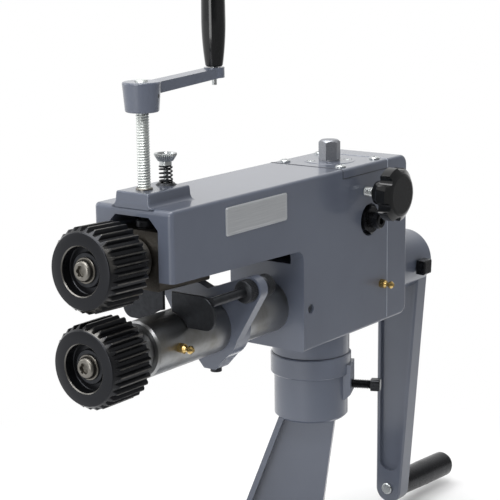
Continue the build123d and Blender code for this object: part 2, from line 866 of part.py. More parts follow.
def make_pivot_screw():
    """The screw whose plain end the arm swings on."""
    end = half_width + pivot_screw_out
    inner = channel_half - trunnion_side_gap + 0.4
    screw = rod_x(pivot_screw_radius, inner, end, pivot_y, pivot_z)
    screw = chamfer(screw.edges().group_by(Axis.X)[-1], 1.2)
    screw += rod_x(pivot_pin_radius, pivot_pin_inner_x, inner + 1, pivot_y, pivot_z)
    socket = extrude(hexagon(pivot_socket_flats), 7)
    return screw - along_x(socket, end - 5, pivot_y, pivot_z)


def make_pivot_nut():
    """The lock nut in the recess."""
    nut = extrude(hexagon(pivot_nut_flats), pivot_nut_thickness)
    limit = turned([
        (0, 0), (pivot_nut_flats * 0.54, 0), (pivot_nut_flats * 0.58, 1),
        (pivot_nut_flats * 0.58, pivot_nut_thickness - 1.3),
        (pivot_nut_flats * 0.5, pivot_nut_thickness), (0, pivot_nut_thickness),
    ])
    nut &= limit
    nut -= rod_z(pivot_screw_radius + seated, -1, pivot_nut_thickness + 1)
    return along_x(nut, half_width - pivot_recess_depth, pivot_y, pivot_z)


def both_sides(solid):
    """A piece and its mirror image as one node."""
    return group([solid, mirrored_x(solid)])


def adjuster_screw_places():
    """The two screws of the adjuster's flange, as (x, y)."""
    turn = math.radians(adjuster_screw_turn)
    reach = adjuster_screw_circle / 2
    return [(side * reach * math.cos(turn), adjuster_y + side * reach * math.sin(turn))
            for side in (-1, 1)]


def make_adjuster_flange():
    """The flanged sleeve let into the top cover."""
    flange_low = flange_top - adjuster_flange
    flange = rod_z(adjuster_flange_radius, flange_low, flange_top, y=adjuster_y)
    flange = chamfer(flange.edges().group_by(Axis.Z)[-1], adjuster_proud)
    flange += rod_z(adjuster_sleeve_radius, adjuster_sleeve_bottom, flange_low + 1, y=adjuster_y)
    flange -= rod_z(adjuster_radius + running, adjuster_sleeve_bottom - 1, boss_top,
                    y=adjuster_y)
    for x, y in adjuster_screw_places():
        flange -= rod_z(adjuster_screw_radius + hole_play, flange_low - 3, boss_top, x, y)
        flange -= rod_z(adjuster_screw_head_radius + hole_play,
                        flange_top - adjuster_screw_sink, boss_top, x, y)
    return flange


def make_adjuster_flange_screws():
    """Two low screws in the adjuster's flange."""
    screw = pan_screw(adjuster_screw_radius - seated, adjuster_screw_head_radius,
                      adjuster_screw_sink + 0.5, cover_thickness - 2.2)
    return group(Pos(x, y, flange_top - adjuster_screw_sink) * screw
                 for x, y in adjuster_screw_places())


def make_adjuster_spindle():
    """The hexagon-headed spindle with its eccentric pin."""
    seat = flange_top + 0.2
    spindle = rod_z(adjuster_radius, adjuster_bottom, seat + 1)
    hex_outline = Rot(0, 0, adjuster_hex_turn) * hexagon(adjuster_hex)
    head = extrude(Pos(0, 0, seat) * hex_outline, adjuster_hex_height)
    crown = turned([
        (0, seat), (adjuster_hex * 0.56, seat), (adjuster_hex * 0.58, seat + 0.8),
        (adjuster_hex * 0.58, seat + adjuster_hex_height - 2.0),
        (adjuster_hex * 0.44, seat + adjuster_hex_height), (0, seat + adjuster_hex_height),
    ])
    spindle += head & crown
    spindle += rod_z(adjuster_pin_radius, adjuster_pin_bottom, adjuster_bottom + 1,
                     x=adjuster_throw)
    return Pos(0, adjuster_y, 0) * spindle


def make_lock_stud():
    """The threaded stud that jams the adjuster."""
    stud = rod_x(stud_radius, adjuster_radius + 3.0, knob_inner_x + 5, adjuster_y, knob_z)
    return stud + rod_x(2.6, adjuster_radius + 0.1, adjuster_radius + 4, adjuster_y, knob_z)


def make_lock_knob():
    """The lobed knob with its bevelled face and hub."""
    rim = knob_radius - knob_bevel
    knob = turned([
        (0, 0), (knob_radius - 1, 0), (knob_radius, 1), (knob_radius, knob_thickness - 4),
        (rim, knob_thickness - 0.6), (rim - 2, knob_thickness), (0, knob_thickness),
    ])
    reach = knob_radius - knob_notch_depth + knob_notch_radius
    for index in range(knob_lobes):
        turn = math.radians(knob_turn + index * 360 / knob_lobes)
        knob -= rod_z(knob_notch_radius, -1, knob_thickness + 1,
                      reach * math.cos(turn), reach * math.sin(turn))
    hub_low = knob_hub_x - knob_inner_x
    knob += turned([
        (0, hub_low), (knob_hub_radius, hub_low), (knob_hub_radius + 2, 1), (0, 1),
    ])
    knob -= rod_z(stud_radius + seated, hub_low - 1, 5.5)
    return along_x(knob, knob_inner_x, adjuster_y, knob_z)


# ---------------------------------------------------------------- pressure screw

def pad_bottom():
    """Underside of the pad, just over the raised wear button."""
    lift = (pivot_y - screw_y) * math.sin(math.radians(arm_rise))
    level = (block_top + button_proud - pivot_z) * math.cos(math.radians(arm_rise))
    tilt = button_radius * rise_slope
    return pivot_z + level + lift + tilt + pad_gap


def make_screw_bush():
    """The bronze nut in the boss."""
    bush = rod_z(screw_bush_radius - seated, channel_top + 4.8, boss_top + screw_bush_rim,
                 y=screw_y)
    bush = chamfer(bush.edges().group_by(Axis.Z)[-1], 0.5)
    return bush - rod_z(screw_radius + running, 0, boss_top + 5, y=screw_y)


def make_pressure_pad():
    """The swivel foot under the pressure screw."""
    low = pad_bottom()
    pad = rod_z(pad_radius, low, low + pad_height)
    pad = chamfer(pad.edges().filter_by(GeomType.CIRCLE), 0.8)
    pad -= rod_z(screw_radius - 1 + running, low + 2, low + pad_height + 1)
    return Pos(0, screw_y, 0) * pad


def hub_cross_rod(radius, half):
    """A rod along the cross pin's axis, about the pressure screw's own axis."""
    return Rot(0, 0, hub_pin_turn) * rod_x(radius, -half, half, 0, hub_top - hub_pin_drop)


def make_pressure_screw():
    """The long screw that sets the rolls' depth."""
    low = pad_bottom() + 2.2
    screw = rod_z(screw_radius - 1, low, low + 6)
    screw += rod_z(screw_radius, pad_bottom() + pad_height + 0.2, hub_top + 1.2)
    screw = chamfer(screw.edges().group_by(Axis.Z)[-1], 1.0)
    screw -= hub_cross_rod(hub_pin_radius + seated, hub_top_radius)
    return Pos(0, screw_y, 0) * screw


def make_adjusting_crank():
    """The small crank: tapered hub, flat rising arm and end boss."""
    hub = turned([
        (0, hub_bottom), (hub_bottom_radius, hub_bottom), (hub_top_radius, hub_top), (0, hub_top),
    ])
    hub = fillet(hub.edges().filter_by(GeomType.CIRCLE), 1.5)
    slope = math.tan(math.radians(crank_slope))
    near = hub_bottom_radius * 0.5
    near_top = hub_top - 1.5
    far_top = near_top + (crank_reach - near) * slope
    low = near_top - crank_bar_height
    sky = far_top + crank_bar_height
    side = [(near, low), (crank_reach, far_top - crank_bar_height * 0.9),
            (crank_reach, far_top), (near, near_top)]
    bar = extrude(Plane.YZ * make_face(Polyline(*side, close=True)),
                  crank_bar_width / 2, both=True)
    plan = extrude(Pos(0, crank_reach / 2) * Rectangle(crank_bar_width, crank_reach), sky)
    plan += rod_z(crank_eye_radius, 0, sky, y=crank_reach)
    eye = rod_z(crank_eye_radius, far_top - crank_bar_height * 0.9, eye_top(), y=crank_reach)
    crank = hub + (bar & plan) + eye
    crank -= rod_z(screw_radius + seated, hub_bottom - 1, hub_top + 1)
    crank -= rod_z(grip_bolt_radius + seated, low, sky, y=crank_reach)
    crank -= hub_cross_rod(hub_pin_radius + seated, hub_top_radius)
    return Pos(0, screw_y, 0) * crank


def eye_top():
    """Top of the small crank's end boss."""
    slope = math.tan(math.radians(crank_slope))
    return hub_top - 1.5 + (crank_reach - hub_bottom_radius * 0.5) * slope + crank_eye_rise


def make_crank_pin():
    """The cross pin through the small crank's hub."""
    return Pos(0, screw_y, 0) * hub_cross_rod(hub_pin_radius, hub_bottom_radius + 0.9)


def make_grip_bolt():
    """The bolt that the small grip turns on."""
    top = eye_top()
    under = top - crank_eye_rise - crank_bar_height * 0.9
    head_low = top + grip_length - 2 * grip_bolt_head
    bolt = rod_z(grip_bolt_radius, under, head_low + 1)
    head = rod_z(grip_bolt_head_radius, head_low, head_low + grip_bolt_head)
    tail = rod_z(grip_tail_radius, under - grip_tail, under + 1)
    return Pos(0, screw_y + crank_reach, 0) * (bolt + head + tail)


def make_adjusting_grip():
    """The tapered grip with its belly and rounded end."""
    low = eye_top() + 0.6
    high = low + grip_length
    belly = low + grip_length * 0.45
    with BuildLine(Plane.XZ) as outline:
        Line((0, low), (grip_end_radius - 1, low))
        Line((grip_end_radius - 1, low), (grip_end_radius, low + 1))
        ThreePointArc((grip_end_radius, low + 1),
                      (grip_belly_radius - 0.5, (low + belly) / 2 + 1.5),
                      (grip_belly_radius, belly + 4))
        ThreePointArc((grip_belly_radius, belly + 4),
                      (grip_belly_radius - 0.35, (belly + high) / 2),
                      (grip_end_radius + 1, high - 3))
        ThreePointArc((grip_end_radius + 1, high - 3), (grip_end_radius - 0.4, high - 0.7),
                      (grip_end_radius - 2.8, high))
        Line((grip_end_radius - 2.8, high), (0, high))
        Line((0, high), (0, low))
    grip = revolve(make_face(outline.line), Axis.Z)
    grip -= rod_z(grip_bolt_radius + running * 2, low - 1, high - 4)
    grip -= rod_z(grip_bolt_head_radius + 0.2, high - 2 * grip_bolt_head - 1.2, high + 1)
    return Pos(0, screw_y + crank_reach, 0) * grip


# ---------------------------------------------------------------- lift screw

def spring_seat():
    """Height at which the lift spring stands."""
    return boss_top + lift_washer_height


def make_lift_washer():
    """The dished washer under the lift spring."""
    washer = turned([
        (lift_hole_radius, boss_top), (lift_washer_radius, boss_top),
        (lift_washer_radius - 1.0, boss_top + 1.0),
        (lift_washer_radius - 1.6, spring_seat()), (lift_hole_radius, spring_seat()),
    ])
    return Pos(0, lift_y, 0) * washer


def make_lift_screw():
    """The knurled-head screw that hangs the arm on its spring."""
    under = spring_seat() + spring_height + 0.1
    low = pivot_z + (pivot_y - lift_y) * rise_slope + block_height / 2 - lift_screw_grip
    screw = rod_z(lift_screw_radius, low, under + 1)
    screw += rod_z(lift_neck_radius + 0.5, under, under + lift_neck_height)
    head = rod_z(lift_head_radius, under + lift_neck_height - 0.5,
                 under + lift_neck_height + lift_head_height)
    head = chamfer(head.edges().filter_by(GeomType.CIRCLE), 0.7)
    return Pos(0, lift_y, 0) * (screw + head)


def spring_arc(index, low, rise):
    """One half turn, level at both ends so that the next one joins smoothly."""
    side = 1 if index % 2 == 0 else -1
    foot = low + index * rise
    bulge = math.hypot(spring_mean_radius, rise / 2)
    return ThreePointArc((side * spring_mean_radius, 0, foot),
                         (0, side * bulge, foot + rise / 2),
                         (-side * spring_mean_radius, 0, foot + rise))


def least_gap(path, samples):
    """The least clear distance between neighbouring turns of a wound wire."""
    points = [path @ (index / samples) for index in range(samples + 1)]
    apart = int(samples / spring_turns * 0.6)
    gaps = [(points[i] - points[j]).length
            for i in range(samples + 1) for j in range(i + apart, samples + 1)]
    return min(gaps) - 2 * spring_wire_radius


def make_lift_spring():
    """The coil spring, one unbroken wire of half-turn arcs."""
    low = spring_seat() + spring_wire_radius + running
    high = spring_seat() + spring_height - spring_wire_radius - running
    half_turns = int(spring_turns * 2)
    rise = (high - low) / half_turns
    path = Wire([spring_arc(index, low, rise) for index in range(half_turns)])
    print("lift spring: least gap to itself", round(least_gap(path, 180), 2), "mm")
    section = Plane(origin=path @ 0, z_dir=path % 0) * RegularPolygon(
        spring_wire_radius, spring_wire_sides)
    return Pos(0, lift_y, 0) * sweep(section, path=path)


# ---------------------------------------------------------------- gauge

def ear_outline():
    """The collar's two ears and the webs that carry them, seen from the front."""
    outline = Circle(gauge_ring_radius)
    for side in (-1, 1):
        ear = Pos(side * ear_x, ear_z) * Circle(ear_radius)
        outline += make_hull((Circle(gauge_ring_radius * 0.97) + ear).edges())
    return outline


def ring_outline():
    """The collar's ring with the screw's boss, seen from the front."""
    foot = Pos(0, gauge_bottom + 1) * Rectangle(2 * gauge_boss_half, 2)
    boss = make_hull((Circle(gauge_ring_radius * 0.97) + foot).edges())
    return Circle(gauge_ring_radius) + boss


def make_gauge_collar():
    """The cast collar that slides on the tube."""
    lay = Rot(90, 0, 0)
    collar = Pos(0, gauge_front + gauge_width, 0) * lay * extrude(ring_outline(), gauge_width)
    collar += Pos(0, gauge_front + ear_width, 0) * lay * extrude(ear_outline(), ear_width)
    collar -= rod_y(tube_radius + running, gauge_front - 1, gauge_front + gauge_width + 1)
    for side in (-1, 1):
        collar -= rod_y(rod_radius + running, gauge_front - 1, gauge_front + gauge_width + 1,
                        side * ear_x, ear_z)
    middle = gauge_front + gauge_width / 2
    collar -= rod_z(gauge_screw_radius + running, gauge_bottom - 1, 0, y=middle)
    return collar


def make_gauge_screw():
    """The screw that locks the collar on the tube."""
    middle = gauge_front + gauge_width / 2
    low = gauge_bottom - gauge_screw_head - 0.2
    screw = rod_z(gauge_screw_radius, gauge_bottom - 0.5, -tube_radius - 0.05)
    screw += rod_z(gauge_screw_head_radius, low, gauge_bottom - 0.2)
    screw -= extrude(Pos(0, 0, low - 1) * hexagon(4.0), 3)
    return Pos(0, middle, 0) * screw


def make_gauge_rod():
    """A gauge rod with its stop paddle, on the plate side."""
    paddle = Pos((paddle_inner_x + paddle_outer_x) / 2, 0,
                 (paddle_low_z + paddle_high_z) / 2) * Box(
        paddle_outer_x - paddle_inner_x, paddle_thickness, paddle_high_z - paddle_low_z)
    outer = paddle.edges().filter_by(Axis.Y).filter_by(lambda e: e.center().X > ear_x)
    upper = outer.filter_by(lambda e: e.center().Z > ear_z)
    lower = outer.filter_by(lambda e: e.center().Z < ear_z)
    paddle = fillet(upper, 9.0)
    lower = paddle.edges().filter_by(Axis.Y).filter_by(
        lambda e: e.center().X > ear_x and e.center().Z < paddle_low_z + 1)
    paddle = fillet(lower, 7.0)
    paddle = Pos(0, rod_front + paddle_thickness / 2, 0) * paddle
    paddle -= rod_y(tube_radius + 0.8, 0, head_depth)
    rod = rod_y(rod_radius, rod_front + 1, rod_rear, ear_x, ear_z)
    rod = chamfer(rod.edges().group_by(Axis.Y)[-1], 0.8)
    return paddle + rod


def gauge_nut(y0):
    """A knurled nut on a gauge rod, on the plate side."""
    nut = rod_y(nut_radius, y0, y0 + nut_width, ear_x, ear_z)
    return chamfer(nut.edges().filter_by(GeomType.CIRCLE), 0.8)


def make_gauge_nuts():
    """The two knurled nuts that grip one ear, the rear one with a neck."""
    ear_back = gauge_front + ear_width
    knurl_front = ear_back + 0.1 + nut_neck
    bore = rod_y(rod_radius + running, 0, knurl_front + nut_width + 1, ear_x, ear_z)
    front = gauge_nut(gauge_front - nut_width - 0.1)
    rear = gauge_nut(knurl_front)
    rear += rod_y(nut_neck_radius, ear_back + 0.1, knurl_front + 1, ear_x, ear_z)
    return [front - bore, rear - bore]


# ---------------------------------------------------------------- main crank

def make_crank_arm():
    """The cast crank: round hub, tapered arm with edge ribs, rounded foot."""
    hub = rod_y(crank_hub_radius, crank_hub_front, crank_arm_rear)
    hub = fillet(hub.edges().filter_by(GeomType.CIRCLE), 2.5)
    top = Circle(crank_top_half)
    foot = Pos(0, crank_radius) * Circle(crank_foot_half)
    web = make_hull((top + foot).edges())
    depth = crank_arm_rear - crank_arm_front
    arm = Pos(0, crank_arm_front, 0) * Rot(-90, 0, 0) * extrude(web, depth)
    arm = chamfer(arm.edges().filter_by(lambda e: e.center().Y < crank_arm_front + 0.1), 1.5)
    inner_top = Pos(0, crank_hub_radius) * Circle(crank_top_half - crank_rib - 1)
    inner_foot = Pos(0, crank_radius - 2.2 * crank_foot_half) * Circle(
        crank_foot_half - crank_rib + 1)
    panel = make_hull((inner_top + inner_foot).edges())
    sink = (depth - crank_panel) / 2
    for y in (crank_arm_front, crank_arm_rear - sink):
        arm -= Pos(0, y, 0) * Rot(-90, 0, 0) * extrude(panel, sink)
    crank = arm + hub
    crank -= rod_y(shaft_radius + seated, crank_hub_front - 1, crank_arm_rear + 1)
    crank -= rod_x(crank_screw_radius + seated, 0, crank_hub_radius + 1, crank_screw_y, 0)
    bolt_hole = rod_y(handle_bolt_radius + seated, -crank_arm_depth - 2, 2)
    return leaning * crank - drooping * bolt_hole


def make_crank_set_screw():
    """The square-headed screw that holds the crank on its shaft."""
    head_foot = crank_hub_radius + 1.2
    screw = rod_x(crank_screw_radius, shaft_radius - 0.8, head_foot + 1, crank_screw_y, 0)
    head = Pos(head_foot + 4.5, crank_screw_y, 0) * Box(9, crank_screw_flats, crank_screw_flats)
    head = chamfer(head.edges().group_by(Axis.X)[-1], 1.2)
    return leaning * (screw + head)


def make_handle_bolt():
    """The bolt that the handle turns on, made from the arm's rear face."""
    rear = handle_gap + handle_length - 8
    bolt = rod_y(handle_bolt_radius, -crank_arm_depth - 1.5, rear)
    head = rod_y(handle_bolt_head_radius, -crank_arm_depth - 3.0, -crank_arm_depth - 0.4)
    head = chamfer(head.edges().group_by(Axis.Y)[0], 0.8)
    stop = rod_y(handle_bolt_radius + 2.5, rear - 3, rear)
    return drooping * (bolt + head + stop)


def make_handle_sleeve():
    """The turning handle of the main crank, made from the arm's rear face."""
    points = [
        (0, 0), (handle_radius - 1.4, 0), (handle_radius - 0.6, 1.0),
        (handle_radius, handle_length * 0.55), (handle_radius, handle_length - 4.5),
        (handle_radius - 1.6, handle_length - 1.2), (handle_radius - 4.5, handle_length),
        (0, handle_length),
    ]
    sleeve = along_y(turned(points), handle_gap)
    bolt_end = handle_gap + handle_length - 8
    sleeve -= rod_y(handle_bolt_radius + 2 * running, 0, bolt_end + 0.5)
    sleeve -= rod_y(handle_bolt_radius + 2.8, bolt_end - 3.5, handle_gap + handle_length + 1)
    return drooping * sleeve


# ---------------------------------------------------------------- stand

def make_stand_casting():
    """The cast stand: foot, leaning T-shaped leg and swivel socket."""
    socket_bottom = socket_top - socket_height
    socket = rod_z(socket_radius, socket_bottom, socket_top)
    socket = chamfer(socket.edges().group_by(Axis.Z)[0], 2.0)
    rim = rod_z(socket_rim_radius, socket_top - socket_rim_height, socket_top)
    rim = chamfer(rim.edges().filter_by(GeomType.CIRCLE), 1.0)
    clamp_z = socket_top - clamp_screw_drop
    boss = block(-clamp_boss_reach, 0, -clamp_boss_half, clamp_boss_half,
                 clamp_z - clamp_boss_half - 1, socket_top - socket_rim_height / 2)
    low_edge = boss.edges().filter_by(Axis.Y).filter_by(
        lambda e: e.center().X < -1 and e.center().Z < clamp_z)
    boss = chamfer(low_edge, 5.0)

    foot_top = bench_z + foot_thickness
    foot = block(-foot_size / 2, foot_size / 2, -foot_size / 2, foot_size / 2, bench_z, foot_top)
    foot = fillet(foot.edges().filter_by(Axis.Z), foot_round)
    foot = chamfer(foot.edges().group_by(Axis.Z)[-1], 2.5)
    foot = Pos(foot_offset, 0, 0) * foot

    head_z = socket_bottom + 4
    web = make_face(Plane.XZ * Polyline(
        (leg_head_inner, head_z), (leg_head_outer, head_z),
        (leg_foot_outer, foot_top - 1), (leg_foot_inner, foot_top - 1), close=True))
    leg = extrude(web, leg_web / 2, both=True)
    flange = make_face(Plane.XZ * Polyline(
        (leg_head_outer - leg_flange, head_z), (leg_head_outer, head_z),
        (leg_foot_outer, foot_top - 1), (leg_foot_outer - leg_flange, foot_top - 1), close=True))
    leg += extrude(flange, leg_flange_half, both=True)
    rib_half = foot_size * base_rib_share / 2
    rib_top = foot_top + base_rib_height
    base_rib = make_face(Plane.YZ * Polyline(
        (-rib_half, foot_top - 1), (rib_half, foot_top - 1),
        (leg_flange_half / 2, rib_top), (-leg_flange_half / 2, rib_top),
        close=True))
    leg += Pos(foot_offset, 0, 0) * extrude(base_rib, leg_web / 2, both=True)

    stand = socket + rim + boss + foot + leg
    stand -= rod_z(post_radius + running, neck_bottom - post_length - 1, socket_top + 1)
    stand -= rod_x(clamp_screw_radius + running, -clamp_boss_reach - 1, 0, 0, clamp_z)
    for index in range(4):
        angle = math.radians(45 + 90 * index)
        x = foot_offset + foot_circle / 2 * math.cos(angle)
        y = foot_circle / 2 * math.sin(angle)
        stand -= rod_z(foot_hole_radius, bench_z - 1, foot_top + 1, x, y)
    return on_stand * stand


def make_stand_clamp_screw():
    """The square-headed screw that holds the machine from turning."""
    clamp_z = socket_top - clamp_screw_drop
    head_foot = -(clamp_screw_out - clamp_head_length)
    screw = rod_x(clamp_screw_radius, head_foot - 1, -post_radius - 0.05, 0, clamp_z)
    head = Pos(head_foot - clamp_head_length / 2, 0, clamp_z) * Box(
        clamp_head_length, clamp_head_flats, clamp_head_flats)
    head = chamfer(head.edges().group_by(Axis.X)[0], 1.0)
    return on_stand * (screw + head)


# ---------------------------------------------------------------- the whole machine

parts = {
    "stand_casting": make_stand_casting(),
    "stand_clamp_screw": make_stand_clamp_screw(),
    "frame_casting": make_frame_casting(),
    "top_cover": make_top_cover(),
    "top_cover_screws": make_top_cover_screws(),
    "rear_cover": make_rear_cover(),
    "rear_cover_screws": make_rear_cover_screws(),
    "lower_tube": make_lower_tube(),
    "tube_set_screw": make_tube_set_screw(),
    "tube_bush": make_bush(tube_front + 2, tube_front + 2 + front_bush_length),
    "frame_bush": make_bush(body_depth - rear_bush_length, body_depth - 1),
    "grease_nipples": group([make_frame_grease_nipple(), make_tube_grease_nipple()]),
    "pivot_screws": both_sides(make_pivot_screw()),
    "pivot_lock_nuts": both_sides(make_pivot_nut()),
    "screw_bush": make_screw_bush(),
    "lift_washer": make_lift_washer(),
    "lift_spring": make_lift_spring(),
    "adjuster_flange": make_adjuster_flange(),
    "adjuster_flange_screws": make_adjuster_flange_screws(),
    "adjuster_spindle": make_adjuster_spindle(),
    "lock_stud": make_lock_stud(),
    "lock_knob": make_lock_knob(),
    "upper_arm": make_upper_arm(),
    "arm_front_bush": make_arm_bush(block_front, block_front + front_bush_length - 0.1),
    "arm_rear_bush": make_arm_bush(ring_room_rear(), arm_rear),
    "wear_button": make_wear_button(),
    "lift_screw": make_lift_screw(),
    "thrust_ring": make_thrust_ring(),
    "upper_shaft": make_upper_shaft(),
    "upper_shaft_keys": on_upper(make_keys()),
    "upper_thrust_collar": on_upper(make_thrust_collar()),
    "upper_roll": make_upper_roll(),
    "upper_roll_washer": on_upper(make_roll_washer()),
    "upper_roll_screw": on_upper(make_roll_screw()),
    "upper_gear": on_upper(make_gear(90)),
    "upper_gear_circlip": on_upper(make_circlip()),
    "lower_shaft": make_lower_shaft(),
    "lower_shaft_keys": leaning * make_keys(),
    "lower_thrust_collar": leaning * make_thrust_collar(),
    "lower_roll": make_lower_roll(),
    "lower_roll_washer": leaning * make_roll_washer(),
    "lower_roll_screw": leaning * make_roll_screw(),
    "lower_gear": leaning * make_gear(90 + 180 / gear_teeth - crank_lean),
    "lower_gear_circlip": leaning * make_circlip(),
    "crank_arm": make_crank_arm(),
    "crank_set_screw": make_crank_set_screw(),
    "handle_bolt": make_handle_bolt(),
    "handle_sleeve": make_handle_sleeve(),
    "pressure_pad": make_pressure_pad(),
    "pressure_screw": make_pressure_screw(),
    "adjusting_crank": make_adjusting_crank(),
    "adjusting_crank_pin": make_crank_pin(),
    "grip_bolt": make_grip_bolt(),
    "adjusting_grip": make_adjusting_grip(),
    "gauge_collar": make_gauge_collar(),
    "gauge_screw": make_gauge_screw(),
    "near_gauge_rod": make_gauge_rod(),
    "far_gauge_rod": mirrored_x(make_gauge_rod()),
    "near_gauge_nuts": group(make_gauge_nuts()),
    "far_gauge_nuts": group(mirrored_x(nut) for nut in make_gauge_nuts()),
}

os.makedirs("parts", exist_ok=True)
for name, solid in parts.items():
    export_step(to_bench * solid, f"parts/{name}.step")
print(len(parts), "nodes")
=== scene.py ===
import json
import math

import bpy
import numpy as np
from mathutils import Matrix, Vector


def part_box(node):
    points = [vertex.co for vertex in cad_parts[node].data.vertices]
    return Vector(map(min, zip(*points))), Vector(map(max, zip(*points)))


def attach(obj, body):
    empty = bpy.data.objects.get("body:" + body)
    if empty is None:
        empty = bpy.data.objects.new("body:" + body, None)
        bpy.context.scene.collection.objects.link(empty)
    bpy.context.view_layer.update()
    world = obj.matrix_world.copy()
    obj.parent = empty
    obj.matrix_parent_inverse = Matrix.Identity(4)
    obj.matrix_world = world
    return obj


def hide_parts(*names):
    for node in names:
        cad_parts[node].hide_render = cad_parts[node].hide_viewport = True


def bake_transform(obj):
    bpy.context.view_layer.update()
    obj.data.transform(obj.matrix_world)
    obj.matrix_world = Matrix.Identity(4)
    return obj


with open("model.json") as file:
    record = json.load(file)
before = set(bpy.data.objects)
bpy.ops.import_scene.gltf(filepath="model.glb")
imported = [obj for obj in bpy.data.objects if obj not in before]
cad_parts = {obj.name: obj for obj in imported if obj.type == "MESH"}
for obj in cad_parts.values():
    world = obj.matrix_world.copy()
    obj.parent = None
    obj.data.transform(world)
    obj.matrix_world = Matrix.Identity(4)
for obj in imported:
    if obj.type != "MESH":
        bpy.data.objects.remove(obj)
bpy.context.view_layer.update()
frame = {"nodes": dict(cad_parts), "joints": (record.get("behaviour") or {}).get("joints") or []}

print("frame loaded:", len(frame["nodes"]), "pieces")

# places are the frame's own, in metres; sizes in the dictionaries are millimetres
mm = 0.001
tubeLow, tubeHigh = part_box("lower_tube")
housingLow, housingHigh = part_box("frame_casting")
shaftX = (tubeLow.x + tubeHigh.x) / 2        # the lower shaft runs along Y through here
shaftZ = (tubeLow.z + tubeHigh.z) / 2
frontY = housingLow.y                        # the housing's front face
jointPlace = {joint["name"]: Vector(joint["pos_m"]) for joint in frame["joints"]}


def at(x, y, z):  # millimetres from the lower shaft's axis and the housing's front face
    return Vector((shaftX + x * mm, frontY + y * mm, shaftZ + z * mm))


def middleOf(node):
    low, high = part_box(node)
    return (low + high) / 2


def linearColour(code):  # sRGB hex to the linear colour that a shader takes
    parts = [int(code[start:start + 2], 16) / 255 for start in (0, 2, 4)]
    linear = [part / 12.92 if part <= 0.04045 else ((part + 0.055) / 1.055) ** 2.4 for part in parts]
    return (*linear, 1.0)


def perMm(size):  # noise scale whose features are that many millimetres across
    return 1 / (size * mm)


def bandsPerMm(spacing):
    # wave scale whose bands are that many millimetres apart: at scale 1 a wave texture has
    # 20 / 2 pi bands per metre
    return 2 * math.pi / 20 / (spacing * mm)


def addNode(tree, kind, inputs=None, **settings):
    # inputs holds a constant or the socket to link, by the input's name or number
    node = tree.nodes.new(kind)
    for name, value in settings.items():
        setattr(node, name, value)
    for name, value in (inputs or {}).items():
        if isinstance(value, bpy.types.NodeSocket):
            tree.links.new(value, node.inputs[name])
        else:
            node.inputs[name].default_value = value
    return node


def newFinish(name, **settings):  # a material with its shader and its place on the object
    finish = bpy.data.materials.new(name)
    finish.use_nodes = True
    tree = finish.node_tree
    shader = tree.nodes["Principled BSDF"]
    for socket, value in settings.items():
        shader.inputs[socket.replace("_", " ")].default_value = value
    place = addNode(tree, "ShaderNodeTexCoord").outputs["Object"]
    return finish, tree, shader, place


def link(tree, source, shader, socket):
    tree.links.new(source, shader.inputs[socket])


# The small tools below add one node each and give back the socket to link on.

def noise(tree, place, sizeMm, detail):  # features about sizeMm across
    return addNode(tree, "ShaderNodeTexNoise", {
        "Vector": place, "Scale": perMm(sizeMm), "Detail": detail}).outputs["Fac"]


def remap(tree, value, start, end, low=0.0, high=1.0, **settings):  # start..end becomes low..high
    return addNode(tree, "ShaderNodeMapRange", {
        "Value": value, "From Min": start, "From Max": end, "To Min": low, "To Max": high},
        **settings).outputs["Result"]


def combine(tree, operation, first, second):
    return addNode(tree, "ShaderNodeMath", {0: first, 1: second}, operation=operation).outputs["Value"]


def mixColours(tree, share, none, full):  # sRGB codes at share 0 and 1, for sockets 6 and 7
    return addNode(tree, "ShaderNodeMix", {
        "Factor": share, 6: linearColour(none), 7: linearColour(full)}, data_type="RGBA").outputs[2]


def bump(tree, height, depth, strength=1.0, **under):  # depth in millimetres
    return addNode(tree, "ShaderNodeBump", {
        "Height": height, "Distance": depth * mm, "Strength": strength, **under}).outputs["Normal"]


# Gloss enamel over sand-cast iron: sprayed thick, so it has orange peel and follows the
# casting's soft unevenness. The eye sees clean reflections that ripple a little.
enamelLook = {"light": "565c69", "dark": "4b505d", "patchMm": 55, "peelMm": 1.5, "swellMm": 11,
              "peelDepth": 0.006, "swellDepth": 0.05, "rough": 0.40, "specular": 0.3, "coat": 0.8,
              "coatRough": 0.15}


def makeEnamel():
    look = enamelLook
    finish, tree, shader, place = newFinish(
        "gloss_grey_enamel_on_cast_iron", Roughness=look["rough"], IOR=1.5,
        Specular_IOR_Level=look["specular"], Coat_Weight=look["coat"],
        Coat_Roughness=look["coatRough"])
    patches = noise(tree, place, look["patchMm"], 3.0)
    link(tree, mixColours(tree, patches, look["dark"], look["light"]), shader, "Base Color")
    swell = bump(tree, noise(tree, place, look["swellMm"], 1.0), look["swellDepth"])
    peel = bump(tree, noise(tree, place, look["peelMm"], 1.0), look["peelDepth"], Normal=swell)
    link(tree, peel, shader, "Normal")
    link(tree, peel, shader, "Coat Normal")
    return finish


# Black oxide on hobbed alloy steel: the bath leaves a thin blue-black skin, and sheet metal
# rubs it off the flutes' crests. The eye sees dark flanks and greyer, brownish crests. The same
# greyer colour on the bevelled front ends of some flutes and on the recess lip is a painted
# highlight for the light that these polished chamfers reflect.
# Radii are from the roll's axis and places along it from its middle.
rollLook = {"oxide": "2a2b2e", "crest": "6f6d69", "metal": 0.85, "rough": 0.30,
            "wearFrom": 31.2, "wearTo": 31.75, "blotchMm": 5,
            "coneFrom": -16.5, "coneTo": -14.0, "coneRadius": 28.3, "toothPatchMm": 26,
            "highlightFrom": 0.5, "highlightTo": 0.62, "leastHighlight": 0.05, "mostHighlight": 0.6,
            "lipInner": 18.65, "lipOuter": 18.8, "lipBack": -18.75,
            "lineMm": 0.9, "lineDepth": 0.02}


